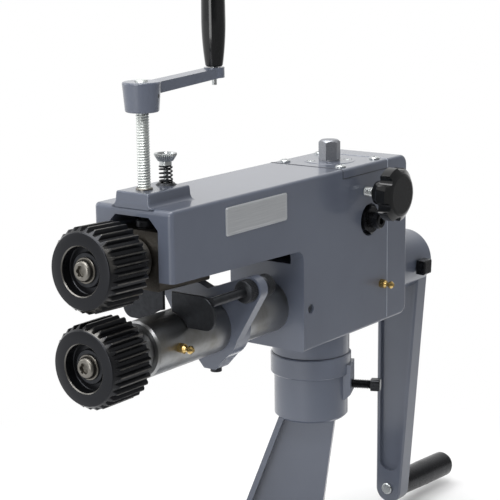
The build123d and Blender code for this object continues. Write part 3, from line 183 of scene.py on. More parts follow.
def makeRollOxide(name, centre, turnAboutX):
    look = rollLook
    finish, tree, shader, place = newFinish(name, Metallic=look["metal"], Roughness=look["rough"])
    ownAxes = addNode(tree, "ShaderNodeMapping", {  # the roll's axis becomes Y through the origin
        "Vector": place, "Location": centre, "Rotation": (turnAboutX, 0.0, 0.0)},
        vector_type="TEXTURE")
    split = addNode(tree, "ShaderNodeSeparateXYZ", {"Vector": ownAxes.outputs["Vector"]})
    alongAxis = split.outputs["Y"]
    across = addNode(tree, "ShaderNodeCombineXYZ", {
        "X": split.outputs["X"], "Z": split.outputs["Z"]})
    radius = addNode(tree, "ShaderNodeVectorMath", {"Vector": across.outputs["Vector"]},
                     operation="LENGTH").outputs["Value"]
    crests = remap(tree, radius, look["wearFrom"] * mm, look["wearTo"] * mm)
    crestWear = combine(tree, "MULTIPLY", crests, noise(tree, place, look["blotchMm"], 4.0))
    frontEnd = remap(tree, alongAxis, look["coneFrom"] * mm, look["coneTo"] * mm, 1.0, 0.0)
    outside = combine(tree, "GREATER_THAN", radius, look["coneRadius"] * mm)
    bevels = combine(tree, "MULTIPLY", frontEnd, outside)  # 1 on the flutes' bevelled front ends
    # painted highlight on the bevelled front ends, stronger on some teeth than on others
    someTeeth = remap(tree, noise(tree, place, look["toothPatchMm"], 1.0), look["highlightFrom"],
                      look["highlightTo"], look["leastHighlight"], look["mostHighlight"])
    bevelHighlight = combine(tree, "MULTIPLY", bevels, someTeeth)
    nearLip = remap(tree, radius, look["lipInner"] * mm, look["lipOuter"] * mm, 1.0, 0.0)
    atFront = combine(tree, "LESS_THAN", alongAxis, look["lipBack"] * mm)
    lip = combine(tree, "MULTIPLY", nearLip, atFront)  # 1 on the recess lip, which takes a painted highlight
    # wear on the crests, together with the painted highlights of the bevels and the lip
    wearAndHighlight = combine(tree, "MAXIMUM", combine(tree, "MAXIMUM", crestWear, bevelHighlight), lip)
    link(tree, mixColours(tree, wearAndHighlight, look["oxide"], look["crest"]), shader, "Base Color")
    lines = noise(tree, place, look["lineMm"], 2.0)
    link(tree, bump(tree, lines, look["lineDepth"], 0.5), shader, "Normal")
    return finish


# Lathe-turned and polished steel: the tool leaves fine rings, hands leave faint stains.
# The eye sees sharp stripes of light along the bar, broken by fine rings.
turnedLook = {"clean": "9b9c9d", "stain": "7f7d77", "rough": 0.36, "stainRough": 0.44,
              "stainMm": 22, "stainFrom": 0.45, "stainTo": 0.75, "ringMm": 0.55,
              "ringDepth": 0.004, "ringDrift": 0.4}


def makeTurnedSteel():
    look = turnedLook
    finish, tree, shader, place = newFinish("turned_bright_steel", Metallic=1.0)
    stains = remap(tree, noise(tree, place, look["stainMm"], 5.0), look["stainFrom"], look["stainTo"])
    link(tree, mixColours(tree, stains, look["clean"], look["stain"]), shader, "Base Color")
    link(tree, remap(tree, stains, 0.0, 1.0, look["rough"], look["stainRough"]), shader, "Roughness")
    rings = addNode(tree, "ShaderNodeTexWave", {
        "Vector": place, "Scale": bandsPerMm(look["ringMm"]), "Distortion": look["ringDrift"]},
        wave_type="BANDS", bands_direction="Y")
    link(tree, bump(tree, rings.outputs["Fac"], look["ringDepth"], 0.6), shader, "Normal")
    return finish


# Milled mild steel left bare and oiled: the cutter leaves long faint lanes and the oil
# browns it. The eye sees a dull brown-grey metal with streaks along its length.
milledLook = {"main": "73706b", "other": "544e47", "lineMm": 1.4, "lineLengthMm": 40,
              "detail": 3.0, "depth": 0.02, "rough": 0.40}

# Brushed aluminium sheet: the brush runs along the plate and leaves hair lines 0.1 mm apart,
# drawn here 0.4 mm apart so that they show. The eye sees a pale metal with a soft long sheen.
plateLook = {"main": "eceef0", "other": "cbced2", "lineMm": 0.4, "lineLengthMm": 30,
             "detail": 2.0, "depth": 0.006, "rough": 0.5}


def makeStreakedMetal(name, look):  # a metal with lines along Y in its colour and its height
    finish, tree, shader, place = newFinish(name, Metallic=1.0, Roughness=look["rough"])
    stretched = addNode(tree, "ShaderNodeMapping", {
        "Vector": place, "Scale": (1.0, look["lineMm"] / look["lineLengthMm"], 1.0)})
    lines = noise(tree, stretched.outputs["Vector"], look["lineMm"], look["detail"])
    link(tree, mixColours(tree, lines, look["other"], look["main"]), shader, "Base Color")
    link(tree, bump(tree, lines, look["depth"], 0.6), shader, "Normal")
    return finish


# Black phenolic and nylon mouldings: glossy from the mould, with a faint grain from handling.
# The eye sees near black with one soft highlight.
plasticLook = {"black": "090a0b", "worn": "101112", "wornMm": 12, "grainMm": 0.8,
               "grainDepth": 0.008, "rough": 0.11, "specular": 0.5}


def makeMouldedPlastic():
    look = plasticLook
    finish, tree, shader, place = newFinish(
        "moulded_black_plastic", IOR=1.5, Roughness=look["rough"],
        Specular_IOR_Level=look["specular"])
    handling = noise(tree, place, look["wornMm"], 3.0)
    link(tree, mixColours(tree, handling, look["black"], look["worn"]), shader, "Base Color")
    grain = noise(tree, place, look["grainMm"], 1.0)
    link(tree, bump(tree, grain, look["grainDepth"], 0.5), shader, "Normal")
    return finish


# Other metals: colour and dullness drift a little from grain to grain.
grainLook = {"detail": 4.0, "from": 0.3, "to": 0.7, "duller": 0.08, "glossier": 0.04,
             "depth": 0.01, "strength": 0.4}


def makePlainMetal(name, main, other, rough, grainMm, metallic=1.0):
    look = grainLook
    finish, tree, shader, place = newFinish(name, Metallic=metallic)
    grain = noise(tree, place, grainMm, look["detail"])
    link(tree, mixColours(tree, grain, other, main), shader, "Base Color")
    dullness = remap(tree, grain, look["from"], look["to"], rough + look["duller"],
                     rough - look["glossier"])
    link(tree, dullness, shader, "Roughness")
    link(tree, bump(tree, grain, look["depth"], look["strength"]), shader, "Normal")
    return finish


upperAxis = jointPlace["arm_swing"] - middleOf("upper_roll")  # from the roll back to the arm's pivot
enamel = makeEnamel()
lowerOxide = makeRollOxide("black_oxide_lower_roll", tuple(middleOf("lower_roll")), 0.0)
upperOxide = makeRollOxide("black_oxide_upper_roll", tuple(middleOf("upper_roll")),
                           math.atan2(upperAxis.z, upperAxis.y))
turnedSteel = makeTurnedSteel()
milledSteel = makeStreakedMetal("milled_bare_steel", milledLook)
# each plain metal's two colours, roughness, grain in millimetres and, below 1, its metal share
zinc = makePlainMetal("zinc_plated_steel", "d3d6d6", "adb1b2", 0.28, 3.0)
oiledSteel = makePlainMetal("oil_blackened_steel", "3e4044", "232427", 0.36, 4.0, 0.8)
springSteel = makePlainMetal("black_spring_steel", "2f3135", "17181a", 0.30, 2.0, 0.8)
groundSteel = makePlainMetal("ground_dull_steel", "8f8c86", "6c6963", 0.33, 3.0)
hexSteel = makePlainMetal("sawn_oiled_steel", "a9abb0", "85878c", 0.45, 1.2)
brass = makePlainMetal("turned_brass", "dcc287", "b3924f", 0.20, 3.0)
boltSteel = makePlainMetal("black_oxide_bolt_steel", "37383b", "1c1d1f", 0.22, 3.0, 0.9)
bluedTube = makePlainMetal("blued_steel_tube", "303134", "1b1c1e", 0.26, 9.0, 0.9)
# pale enamel for the rear cover's bead: a painted highlight where that edge catches the light
highlightBead = makePlainMetal("painted_highlight_enamel_edge", "a4a9b3", "7d838f", 0.5, 6.0, 0.0)
jointFill = makePlainMetal("paint_filled_joint", "34363d", "24262b", 0.6, 2.0, 0.0)
bronze = makePlainMetal("bearing_bronze", "b07f48", "7f5a30", 0.34, 4.0)
plastic = makeMouldedPlastic()
aluminium = makeStreakedMetal("brushed_aluminium", plateLook)
print("finishes made")


# The CAD pieces take their finish from the record's slot, or by name where one slot holds
# several real finishes. The wear button and pressure pad take the dark steel by name as
# painted shade in the arm's cavity.
slotFinish = {
    "grey_paint": enamel, "black_oxide_rolls": lowerOxide, "black_steel": oiledSteel,
    "bright_steel": turnedSteel, "bare_steel": milledSteel, "zinc_plate": zinc,
    "brass": brass, "bronze": bronze, "black_plastic": plastic,
}
nodeFinish = {
    # wear button and pressure pad: dark steel as painted shade in the arm's cavity
    "adjuster_spindle": hexSteel, "adjuster_flange": enamel, "wear_button": oiledSteel,
    "pressure_pad": oiledSteel, "screw_bush": groundSteel, "pivot_screws": boltSteel,
    "pivot_lock_nuts": boltSteel, "crank_set_screw": boltSteel, "handle_sleeve": bluedTube,
}


def wearFinish(piece, finish):  # through the object's own slots, the mesh stays as it is
    for held in piece.material_slots:
        held.link = "OBJECT"
        held.material = finish


for name, piece in frame["nodes"].items():
    slotName = piece.material_slots[0].material.name if piece.material_slots else ""
    finish = nodeFinish.get(name) or slotFinish.get(slotName.split(".")[0])
    if finish is None:
        print("no finish for", name, slotName)
    else:
        wearFinish(piece, finish)
print("CAD pieces finished")


def surfaceMesh(name, grids, finish, body, replaced=(), sharpDegrees=32, ringed=False):
    # each grid is rows by columns by 3: rows run along the shape, columns counter-clockwise
    # round it. The columns join up. A fan of triangles closes each end, or, where the shape
    # is ringed, the last row joins the first. A piece that bends between two bodies rides none.
    points, faces, start = [], [], 0
    for grid in grids:
        rows, columns = grid.shape[:2]
        number = start + np.arange(rows * columns).reshape(rows, columns)
        if ringed:
            number = np.vstack([number, number[:1]])
        after = np.roll(number, -1, axis=1)
        sides = np.stack([number[:-1], after[:-1], after[1:], number[1:]], axis=-1)
        points.append(grid.reshape(-1, 3))
        faces += sides.reshape(-1, 4).tolist()
        start += rows * columns
        if not ringed:
            points += [grid[0].mean(axis=0)[None], grid[-1].mean(axis=0)[None]]
            firstFan = np.stack([np.full(columns, start), after[0], number[0]], axis=-1)
            lastFan = np.stack([np.full(columns, start + 1), number[-1], after[-1]], axis=-1)
            faces += firstFan.tolist() + lastFan.tolist()
            start += 2
    mesh = bpy.data.meshes.new(name)
    mesh.from_pydata(np.concatenate(points).tolist(), [], faces)
    mesh.validate()
    mesh.shade_smooth()
    mesh.set_sharp_from_angle(angle=math.radians(sharpDegrees))
    piece = bpy.data.objects.new(name, mesh)
    bpy.context.scene.collection.objects.link(piece)
    mesh.materials.append(finish)
    if replaced:
        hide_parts(*replaced)
    if body:
        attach(piece, body)
    return piece


def standing(points, foot, direction):  # turns local Z to the direction and moves it to the foot
    along = Vector(direction).normalized()
    turn = np.array(along.to_track_quat("Z", "Y").to_matrix())
    return points @ turn.T + np.array(foot)


def roundGrid(radius, height):  # rows by columns of radii, one height per row, to points
    angle = np.linspace(0, 2 * np.pi, radius.shape[1], endpoint=False)
    return np.stack([radius * np.cos(angle), radius * np.sin(angle),
                     np.broadcast_to(height[:, None], radius.shape)], axis=-1)


def arc(centreX, centreY, radius, turns):  # rows of two: points on a circle
    return np.stack([centreX + radius * np.cos(turns), centreY + radius * np.sin(turns)], axis=-1)


def roundedCorners(perCorner):
    # once round a rounded rectangle: each point's angle on its corner, and that corner's
    # side in x and in y, as 1 or -1
    quarter = np.linspace(0, np.pi / 2, perCorner)
    angle = np.concatenate([quarter + side * np.pi / 2 for side in range(4)])
    corner = np.repeat(np.radians([45, 135, 225, 315]), perCorner)
    return angle, np.sign(np.cos(corner)), np.sign(np.sin(corner))


def threadedGrid(corners, threadFrom, threadTo, pitch, depth, columns=48, perPitch=8, leastRows=12):
    # radius = the outline through the (height, radius) corners, less a V groove whose
    # place along the bar moves one pitch each turn
    heights = np.array([corner[0] for corner in corners])
    radii = np.array([corner[1] for corner in corners])
    rows = max(int((heights[-1] - heights[0]) / pitch * perPitch), leastRows)
    height = np.unique(np.concatenate([np.linspace(heights[0], heights[-1], rows), heights]))
    outline = np.interp(height, heights, radii)[:, None]
    angle = np.linspace(0, 1, columns, endpoint=False)[None]
    phase = (height[:, None] / pitch - angle) % 1.0
    groove = 1 - np.abs(2 * phase - 1)
    inside = ((height >= threadFrom) & (height <= threadTo))[:, None]
    crest = np.max(radii) - depth * groove
    return roundGrid(np.where(inside, np.minimum(outline, crest), outline), height)


def knurledGrid(corners, count, depth, slant, columns, step):
    # radius = the outline through (height, radius, knurled share) corners, less a ridge pattern:
    # slant 0 gives straight ridges, otherwise two crossing sets give diamonds
    heights, radii, shares = (np.array(column) for column in zip(*corners))
    rows = int((heights[-1] - heights[0]) / step) + 2
    height = np.unique(np.concatenate([np.linspace(heights[0], heights[-1], rows), heights]))
    outline = np.interp(height, heights, radii)[:, None]
    share = np.interp(height, heights, shares)[:, None]
    angle = np.linspace(0, 2 * np.pi, columns, endpoint=False)[None]
    lean = slant * height[:, None]
    oneWay = np.abs(np.sin(count / 2 * (angle + lean)))
    otherWay = np.abs(np.sin(count / 2 * (angle - lean)))
    groove = 1 - (oneWay if slant == 0 else np.minimum(oneWay, otherWay))
    return roundGrid(outline - depth * share * groove, height)


# pressure screw: a long V thread, painted near black as shade on the length that goes down into the
# housing
pressureScrew = {"pitch": 2.0, "depth": 0.7, "plainFoot": 6.0, "bevel": 1.0, "step": 0.01,
                 "oil": "161616", "shadeTop": 112.0}


def makeThreadShadedBelow():  # zinc above, near black below as painted shade
    finish = makePlainMetal("zinc_plated_thread", "e6e9e6", "c2c7c4", 0.42, 2.0)
    tree = finish.node_tree
    shader = tree.nodes["Principled BSDF"]
    clean = shader.inputs["Base Color"].links[0].from_socket
    place = addNode(tree, "ShaderNodeTexCoord").outputs["Object"]
    split = addNode(tree, "ShaderNodeSeparateXYZ", {"Vector": place})
    # below this height the screw is painted near black: the shade inside the housing
    shadeTop = at(0, 0, pressureScrew["shadeTop"]).z
    above = remap(tree, split.outputs["Z"], shadeTop - mm, shadeTop + mm)
    colour = addNode(tree, "ShaderNodeMix", {
        "Factor": above, 6: linearColour(pressureScrew["oil"]), 7: clean}, data_type="RGBA")
    link(tree, colour.outputs[2], shader, "Base Color")
    return finish


def makePressureScrew():
    low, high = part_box("pressure_screw")
    radius = (high.x - low.x) / 2 / mm
    length = (high.z - low.z) / mm
    foot, bevel = pressureScrew["plainFoot"], pressureScrew["bevel"]
    corners = [(0, radius - bevel), (foot - pressureScrew["step"], radius - bevel), (foot, radius),
               (length - bevel, radius), (length, radius - bevel)]
    grid = threadedGrid(corners, foot, length, pressureScrew["pitch"], pressureScrew["depth"])
    centre = (low + high) / 2
    points = standing(grid * mm, (centre.x, centre.y, low.z), (0, 0, 1))
    return surfaceMesh("pressure_screw_thread", [points], makeThreadShadedBelow(), "screw",
                       ["pressure_screw"])


makePressureScrew()


# lock stud: a threaded rod through the knob
lockStud = {"pitch": 1.25, "depth": 0.6, "bevel": 0.6, "columns": 40}


def makeLockStud():
    low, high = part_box("lock_stud")
    radius = (high.z - low.z) / 2 / mm
    length = (high.x - low.x) / mm
    bevel = lockStud["bevel"]
    corners = [(0, radius - bevel), (bevel, radius), (length - bevel, radius), (length, radius - bevel)]
    grid = threadedGrid(corners, 0, length, lockStud["pitch"], lockStud["depth"], lockStud["columns"])
    centre = (low + high) / 2
    points = standing(grid * mm, (low.x, centre.y, centre.z), (1, 0, 0))
    return surfaceMesh("lock_stud_thread", [points], zinc, "lock", ["lock_stud"])


makeLockStud()


# rolls: wide flutes between narrow crests, a cone at the front and a polished lip, whose
# highlight is painted in the roll's finish
roll = {"tip": 31.8, "root": 28.9, "flutes": 30, "crestShare": 0.125, "valleyShare": 0.375,
        "perFlute": 16, "face": 27.7, "cone": 5.5, "coneRows": 18, "length": 39.0, "recess": 18.0,
        "lip": 0.7, "recessDepth": 9.0, "bore": 11.05, "rearBevel": 0.8, "floorBevel": 0.5,
        "frontEdge": 0.15}


def makeRoll(name, middle, axis, firstCrest, finish, body):
    # the section is a closed ring of corners round the roll's wall. On the outside the radius
    # is the smaller of the end cones and a flat-topped wave round the roll
    columns = roll["flutes"] * roll["perFlute"]
    angle = np.linspace(0, 2 * np.pi, columns, endpoint=False)
    phase = (roll["flutes"] * (angle - firstCrest) / (2 * np.pi) + 0.5) % 1.0
    wave = np.interp(np.abs(2 * phase - 1), [roll["crestShare"], 1 - roll["valleyShare"]],
                     [roll["tip"], roll["root"]])
    length, tip, face, bevel = (roll[part] for part in ("length", "tip", "face", "rearBevel"))
    recess, depth, lip = (roll[part] for part in ("recess", "recessDepth", "lip"))
    floorBevel, frontEdge = roll["floorBevel"], roll["frontEdge"]
    inside = [(depth, roll["bore"]), (depth, recess - floorBevel), (depth - floorBevel, recess),
              (lip, recess), (0, recess + lip), (0, face - frontEdge)]
    outsideHeight = np.concatenate([np.linspace(frontEdge, roll["cone"], roll["coneRows"]),
                                    [length / 2, length - bevel, length]])
    cones = np.interp(outsideHeight, [0, roll["cone"], length - bevel, length],
                      [face, tip, tip, tip - bevel])
    radius = np.concatenate([np.repeat([[corner[1]] for corner in inside], columns, axis=1),
                             np.minimum(cones[:, None], wave[None]),
                             np.full((1, columns), roll["bore"])])
    height = np.concatenate([[corner[0] for corner in inside], outsideHeight, [length]])
    along = np.array(axis.normalized())
    across = np.array((1.0, 0.0, 0.0))
    upward = np.cross(across, along)
    points = (radius * np.cos(angle))[..., None] * upward + (radius * np.sin(angle))[..., None] * across
    points = (points + (height - length / 2)[:, None, None] * along) * mm + np.array(middle)
    return surfaceMesh(name + "_fluted", [points], finish, body, [name],
                       sharpDegrees=30, ringed=True)


halfFlute = math.pi / roll["flutes"]  # the upper roll's crests stand over the lower one's flutes
makeRoll("lower_roll", middleOf("lower_roll"), Vector((0, 1, 0)), 0.0, lowerOxide, "lower_shaft_set")
makeRoll("upper_roll", middleOf("upper_roll"), upperAxis, math.pi + halfFlute, upperOxide,
         "upper_shaft_set")


# roll screws: a flanged dome with a hexagon socket
rollScrew = {"radius": 9.6, "height": 6.0, "flange": 1.5, "edge": 0.3, "neck": 8.4, "neckTop": 8.3,
             "neckHeight": 0.2, "domeFoot": 8.2, "domeLow": 0.5, "crown": 5.2, "domeRings": 8,
             "socketFlats": 7.5, "socketDepth": 3.4, "mouth": 4.2, "mouthDrop": 0.05, "bevel": 0.5,
             "pointShare": 0.2, "columns": 96}


def makeRollScrew(name, body, foot, direction):
    # rings of growing height: flange, groove, dome, then back down inside the socket, whose
    # radius is half the flats over the cosine of the angle from the nearest flat's middle
    size = rollScrew
    radius, edge, flange, top = (size[part] for part in ("radius", "edge", "flange", "height"))
    low = flange + size["domeLow"]
    swing = np.linspace(0, np.pi / 2, size["domeRings"])
    dome = np.stack([size["crown"] + (size["domeFoot"] - size["crown"]) * np.cos(swing),
                     low + (top - low) * np.sin(swing)], axis=-1)
    rings = np.array([(radius - edge, 0.0), (radius, edge), (radius, flange - edge),
                      (radius - edge, flange), (size["neck"], flange),
                      (size["neckTop"], flange + size["neckHeight"]), *dome])
    outline = np.repeat(rings[:, :1], size["columns"], axis=1)
    angle = np.linspace(0, 2 * np.pi, size["columns"], endpoint=False)
    hexagon = size["socketFlats"] / 2 / np.cos(angle % (np.pi / 3) - np.pi / 6)
    socketRows = np.stack([np.maximum(hexagon, size["mouth"]), hexagon, hexagon,
                           hexagon * size["pointShare"]])
    socketFloor = top - size["socketDepth"]
    socketHeight = np.array([top - size["mouthDrop"], top - size["bevel"], socketFloor,
                             socketFloor - size["bevel"]])
    grid = np.concatenate([roundGrid(outline, rings[:, 1]), roundGrid(socketRows, socketHeight)])
    points = standing(grid * mm, foot, direction)
    return surfaceMesh(name + "_domed", [points], groundSteel, body, [name],
                       sharpDegrees=28)


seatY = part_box("lower_roll_screw")[0].y + rollScrew["height"] * mm
armPivot = jointPlace["arm_swing"]
makeRollScrew("lower_roll_screw", "lower_shaft_set", (shaftX, seatY, shaftZ), (0, -1, 0))
makeRollScrew("upper_roll_screw", "upper_shaft_set",
              armPivot - upperAxis.normalized() * (armPivot.y - seatY), -upperAxis)


# lift screw: a flared crown head, straight knurled and dished on top
liftScrew = {"stem": 2.0, "neck": 4.6, "neckHeight": 3.4, "head": 8.6, "headHeight": 5.8,
             "flareFoot": 5.8, "rimHeight": 1.4, "rimWidth": 1.0, "dish": 1.6, "dishSlope": 0.8,
             "dishHeart": 0.5, "ridges": 30, "perRidge": 8, "ridgeDepth": 0.95, "footShare": 0.4,
             "rowHeight": 0.7, "step": 0.02}


def makeLiftScrew():
    size = liftScrew
    low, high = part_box("lift_screw")
    length = (high.z - low.z) / mm
    headLow = length - size["headHeight"]
    neckLow = headLow - size["neckHeight"]
    head, neck, stem, step = (size[part] for part in ("head", "neck", "stem", "step"))
    corners = [(0, stem, 0), (neckLow - step, stem, 0), (neckLow, neck, 0), (headLow - step, neck, 0),
               (headLow, size["flareFoot"], size["footShare"]),
               (length - size["rimHeight"], head, 1), (length, head, 1)]
    flare = knurledGrid(corners, size["ridges"], size["ridgeDepth"], 0,
                        size["ridges"] * size["perRidge"], size["rowHeight"])
    rim = head - size["ridgeDepth"] - size["rimWidth"]
    dishFloor = length - size["dish"]
    dish = roundGrid(np.repeat([[rim], [rim - size["dishSlope"]], [size["dishHeart"]]],
                               flare.shape[1], axis=1), np.array([length, dishFloor, dishFloor]))
    grid = np.concatenate([flare, dish])
    centre = (low + high) / 2
    points = standing(grid * mm, (centre.x, centre.y, low.z), (0, 0, 1))
    return surfaceMesh("lift_screw_knurled", [points], zinc, "arm",
                       ["lift_screw"], sharpDegrees=50)


makeLiftScrew()


# lift spring: round wire with one closed coil at each end
liftSpring = {"wire": 0.65, "closedTurns": 0.9, "openTurns": 3.2, "closedPitch": 1.352,
              "aroundWire": 12, "perTurn": 40}


def makeLiftSpring():
    # centre line: a circle whose height climbs about a wire's width per turn in the closed coils
    # and evenly between them. The wire's ring is square to the line.
    low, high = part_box("lift_spring")
    wire = liftSpring["wire"]
    height = (high.z - low.z) / mm
    mean = (high.x - low.x) / 2 / mm - wire
    closed, opened = liftSpring["closedTurns"], liftSpring["openTurns"]
    turns = np.linspace(0, 2 * closed + opened, int((2 * closed + opened) * liftSpring["perTurn"]))
    closedPitch = liftSpring["closedPitch"]
    openPitch = (height - 2 * wire - 2 * closed * closedPitch) / opened
    climb = (np.minimum(turns, closed) * closedPitch
             + np.clip(turns - closed, 0, opened) * openPitch
             + np.clip(turns - closed - opened, 0, closed) * closedPitch)
    angle = 2 * np.pi * turns
    line = np.stack([mean * np.cos(angle), mean * np.sin(angle), wire + climb], axis=-1)
    along = np.gradient(line, axis=0)
    along /= np.linalg.norm(along, axis=1, keepdims=True)
    outward = np.stack([np.cos(angle), np.sin(angle), np.zeros_like(angle)], axis=-1)
    upward = np.cross(along, outward)
    ring = np.linspace(0, 2 * np.pi, liftSpring["aroundWire"], endpoint=False)
    grid = line[:, None] + wire * (np.cos(ring)[None, :, None] * outward[:, None]
                                   + np.sin(ring)[None, :, None] * upward[:, None])
    centre = (low + high) / 2
    points = grid * mm + np.array((centre.x, centre.y, low.z))
    spring = surfaceMesh("lift_spring_wire", [points], springSteel, None,
                         ["lift_spring"], sharpDegrees=60)
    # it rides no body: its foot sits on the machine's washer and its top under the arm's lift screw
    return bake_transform(spring)


makeLiftSpring()


# gauge nuts: the front ones straight knurled, the rear ones diamond knurled with a neck that
# meets the gauge's ear
gaugeNut = {"radius": 9.1, "width": 9.2, "neck": 6.0, "neckLength": 3.6, "bevel": 1.1, "ridges": 44,
            "perRidge": 6, "ridgeDepth": 0.5, "slant": 0.09, "frontRow": 1.0, "rearRow": 0.45,
            "step": 0.02}


def makeGaugeNuts(node, body):
    low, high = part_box(node)
    radius, width, bevel = gaugeNut["radius"], gaugeNut["width"], gaugeNut["bevel"]
    face = [(0, radius - bevel, 0), (bevel, radius, 1), (width - bevel, radius, 1),
            (width, radius - bevel, 0)]
    reach = gaugeNut["neckLength"]
    necked = [(0, gaugeNut["neck"], 0), (reach - gaugeNut["step"], gaugeNut["neck"], 0)]
    necked += [(height + reach, outline, share) for height, outline, share in face]
    ridges, depth = gaugeNut["ridges"], gaugeNut["ridgeDepth"]
    columns = ridges * gaugeNut["perRidge"]
    front = knurledGrid(face, ridges, depth, 0, columns, gaugeNut["frontRow"])
    rear = knurledGrid(necked, ridges, depth, gaugeNut["slant"], columns, gaugeNut["rearRow"])
    centre = (low + high) / 2
    rearY = high.y - (width + reach) * mm
    grids = [standing(front * mm, (centre.x, low.y, centre.z), (0, 1, 0)),
             standing(rear * mm, (centre.x, rearY, centre.z), (0, 1, 0))]
    return surfaceMesh(node + "_knurled", grids, oiledSteel, body, [node],
                       sharpDegrees=50)


makeGaugeNuts("near_gauge_nuts", "near_nuts")
makeGaugeNuts("far_gauge_nuts", "far_nuts")


# gauge rods: a turned rod with a pressed stop plate that clears the tube
gaugeRod = {"rod": 3.75, "columns": 40, "endBevel": 0.8, "front": 38.0, "plate": 2.6, "inner": 4.0,
            "outer": 45.2, "low": 12.0, "high": 38.4, "upperRound": 14.0, "lowerRound": 9.0,
            "tubeClear": 0.8, "edge": 0.4, "edgeShare": 0.975, "innerEdge": 9.0}


def makeGaugeRod(node, side, body):
    # the plate's outline in millimetres from the tube's axis: along the tube's clearance, up
    # the inner edge, over the top, round both outer corners. It is carried along Y
    size = gaugeRod
    clear = (tubeHigh.x - tubeLow.x) / 2 / mm + size["tubeClear"]
    inner, outer, bottom, top = (size[part] for part in ("inner", "outer", "low", "high"))
    upperRound, lowerRound = size["upperRound"], size["lowerRound"]
    innerHeights = np.linspace(top - size["innerEdge"], top, 4)
    outline = np.concatenate([
        arc(0, 0, clear, np.linspace(math.asin(bottom / clear), math.acos(inner / clear), 14)),
        np.stack([np.full_like(innerHeights, inner), innerHeights], axis=-1),
        arc(outer - upperRound, top - upperRound, upperRound, np.linspace(math.pi / 2, 0, 12)),
        arc(outer - lowerRound, bottom + lowerRound, lowerRound, np.linspace(0, -math.pi / 2, 10))])
    if side > 0:
        outline = outline[::-1]
    middle = np.array(((inner + outer) / 2, (bottom + top) / 2))
    thick, edge, share = size["plate"], size["edge"], size["edgeShare"]
    rows = [(0.0, share), (edge, 1.0), (thick - edge, 1.0), (thick, share)]  # place along Y, size
    plate = []
    for y, rowShare in rows:
        row = middle + (outline - middle) * rowShare
        plate.append(np.stack([side * row[:, 0], np.full(len(row), size["front"] + y), row[:, 1]],
                              axis=-1))
    plate = np.array(plate) * mm + np.array((shaftX, frontY, shaftZ))
    nuts = middleOf("near_gauge_nuts" if side > 0 else "far_gauge_nuts")
    low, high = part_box(node)
    length = (high.y - low.y) / mm - thick / 2
    radius, bevel = size["rod"], size["endBevel"]
    rod = roundGrid(np.repeat([[radius], [radius], [radius - bevel]], size["columns"], axis=1),
                    np.array([0, length - bevel, length]))
    rod = standing(rod * mm, (nuts.x, low.y + thick / 2 * mm, nuts.z), (0, 1, 0))
    return surfaceMesh(node + "_plate", [plate, rod], oiledSteel, body, [node])


makeGaugeRod("near_gauge_rod", 1, "near_rod")
makeGaugeRod("far_gauge_rod", -1, "far_rod")


# stand's clamp screw: a short thread with a square head; from and to are measured from the
# post's axis
clampScrew = {"radius": 4.0, "pitch": 1.5, "depth": 0.75, "columns": 40, "from": 22.05, "to": 61.0,
              "head": 8.5, "flats": 9.5, "headColumns": 80, "bevel": 1.0, "seatBevel": 0.4,
              "sunk": 0.5, "cornerShare": 0.66, "rimShare": 0.56}


def makeClampScrew():
    # the square head's radius is half the flats over the cosine of the angle from a flat's middle
    size = clampScrew
    middle = middleOf("stand_clamp_screw")
    post = Vector((jointPlace["machine_swivel"].x, jointPlace["machine_swivel"].y, middle.z))
    outward = (middle - post).normalized()
    shank = size["to"] - size["head"] - size["from"]
    radius, bevel, flats = size["radius"], size["bevel"], size["flats"]
    corners = [(0, radius - bevel), (bevel, radius), (shank + size["sunk"], radius)]
    thread = threadedGrid(corners, 0, shank, size["pitch"], size["depth"], size["columns"])
    angle = np.linspace(0, 2 * np.pi, size["headColumns"], endpoint=False)
    square = flats / 2 / np.cos((angle + np.pi / 4) % (np.pi / 2) - np.pi / 4)
    square = np.minimum(square, flats * size["cornerShare"])
    outer = np.stack([np.minimum(square, flats / 2), square, square,
                      np.minimum(square, flats * size["rimShare"])])
    head = roundGrid(outer, np.array([0, size["seatBevel"], size["head"] - bevel, size["head"]]))
    foot = post + outward * size["from"] * mm
    grids = [standing(thread * mm, foot, outward),
             standing(head * mm, foot + outward * shank * mm, outward)]
    return surfaceMesh("stand_clamp_screw_thread", grids, boltSteel, "stand_clamp",
                       ["stand_clamp_screw"])


makeClampScrew()


# pan screws with a cross recess, in the top cover and the adjuster's flange
coverScrew = {"radius": 4.6, "height": 2.2, "crossLength": 2.6, "crossWidth": 0.55,
              "crossDepth": 1.3, "shank": 2.4, "shankLength": 8.0}
flangeScrew = {"radius": 3.4, "height": 1.6, "crossLength": 1.9, "crossWidth": 0.42,
               "crossDepth": 0.9, "shank": 1.7, "shankLength": 4.0}
panHead = {"columns": 72, "rings": 26, "heart": 0.02, "fall": 0.55, "crossRise": 0.6, "seat": 0.02}


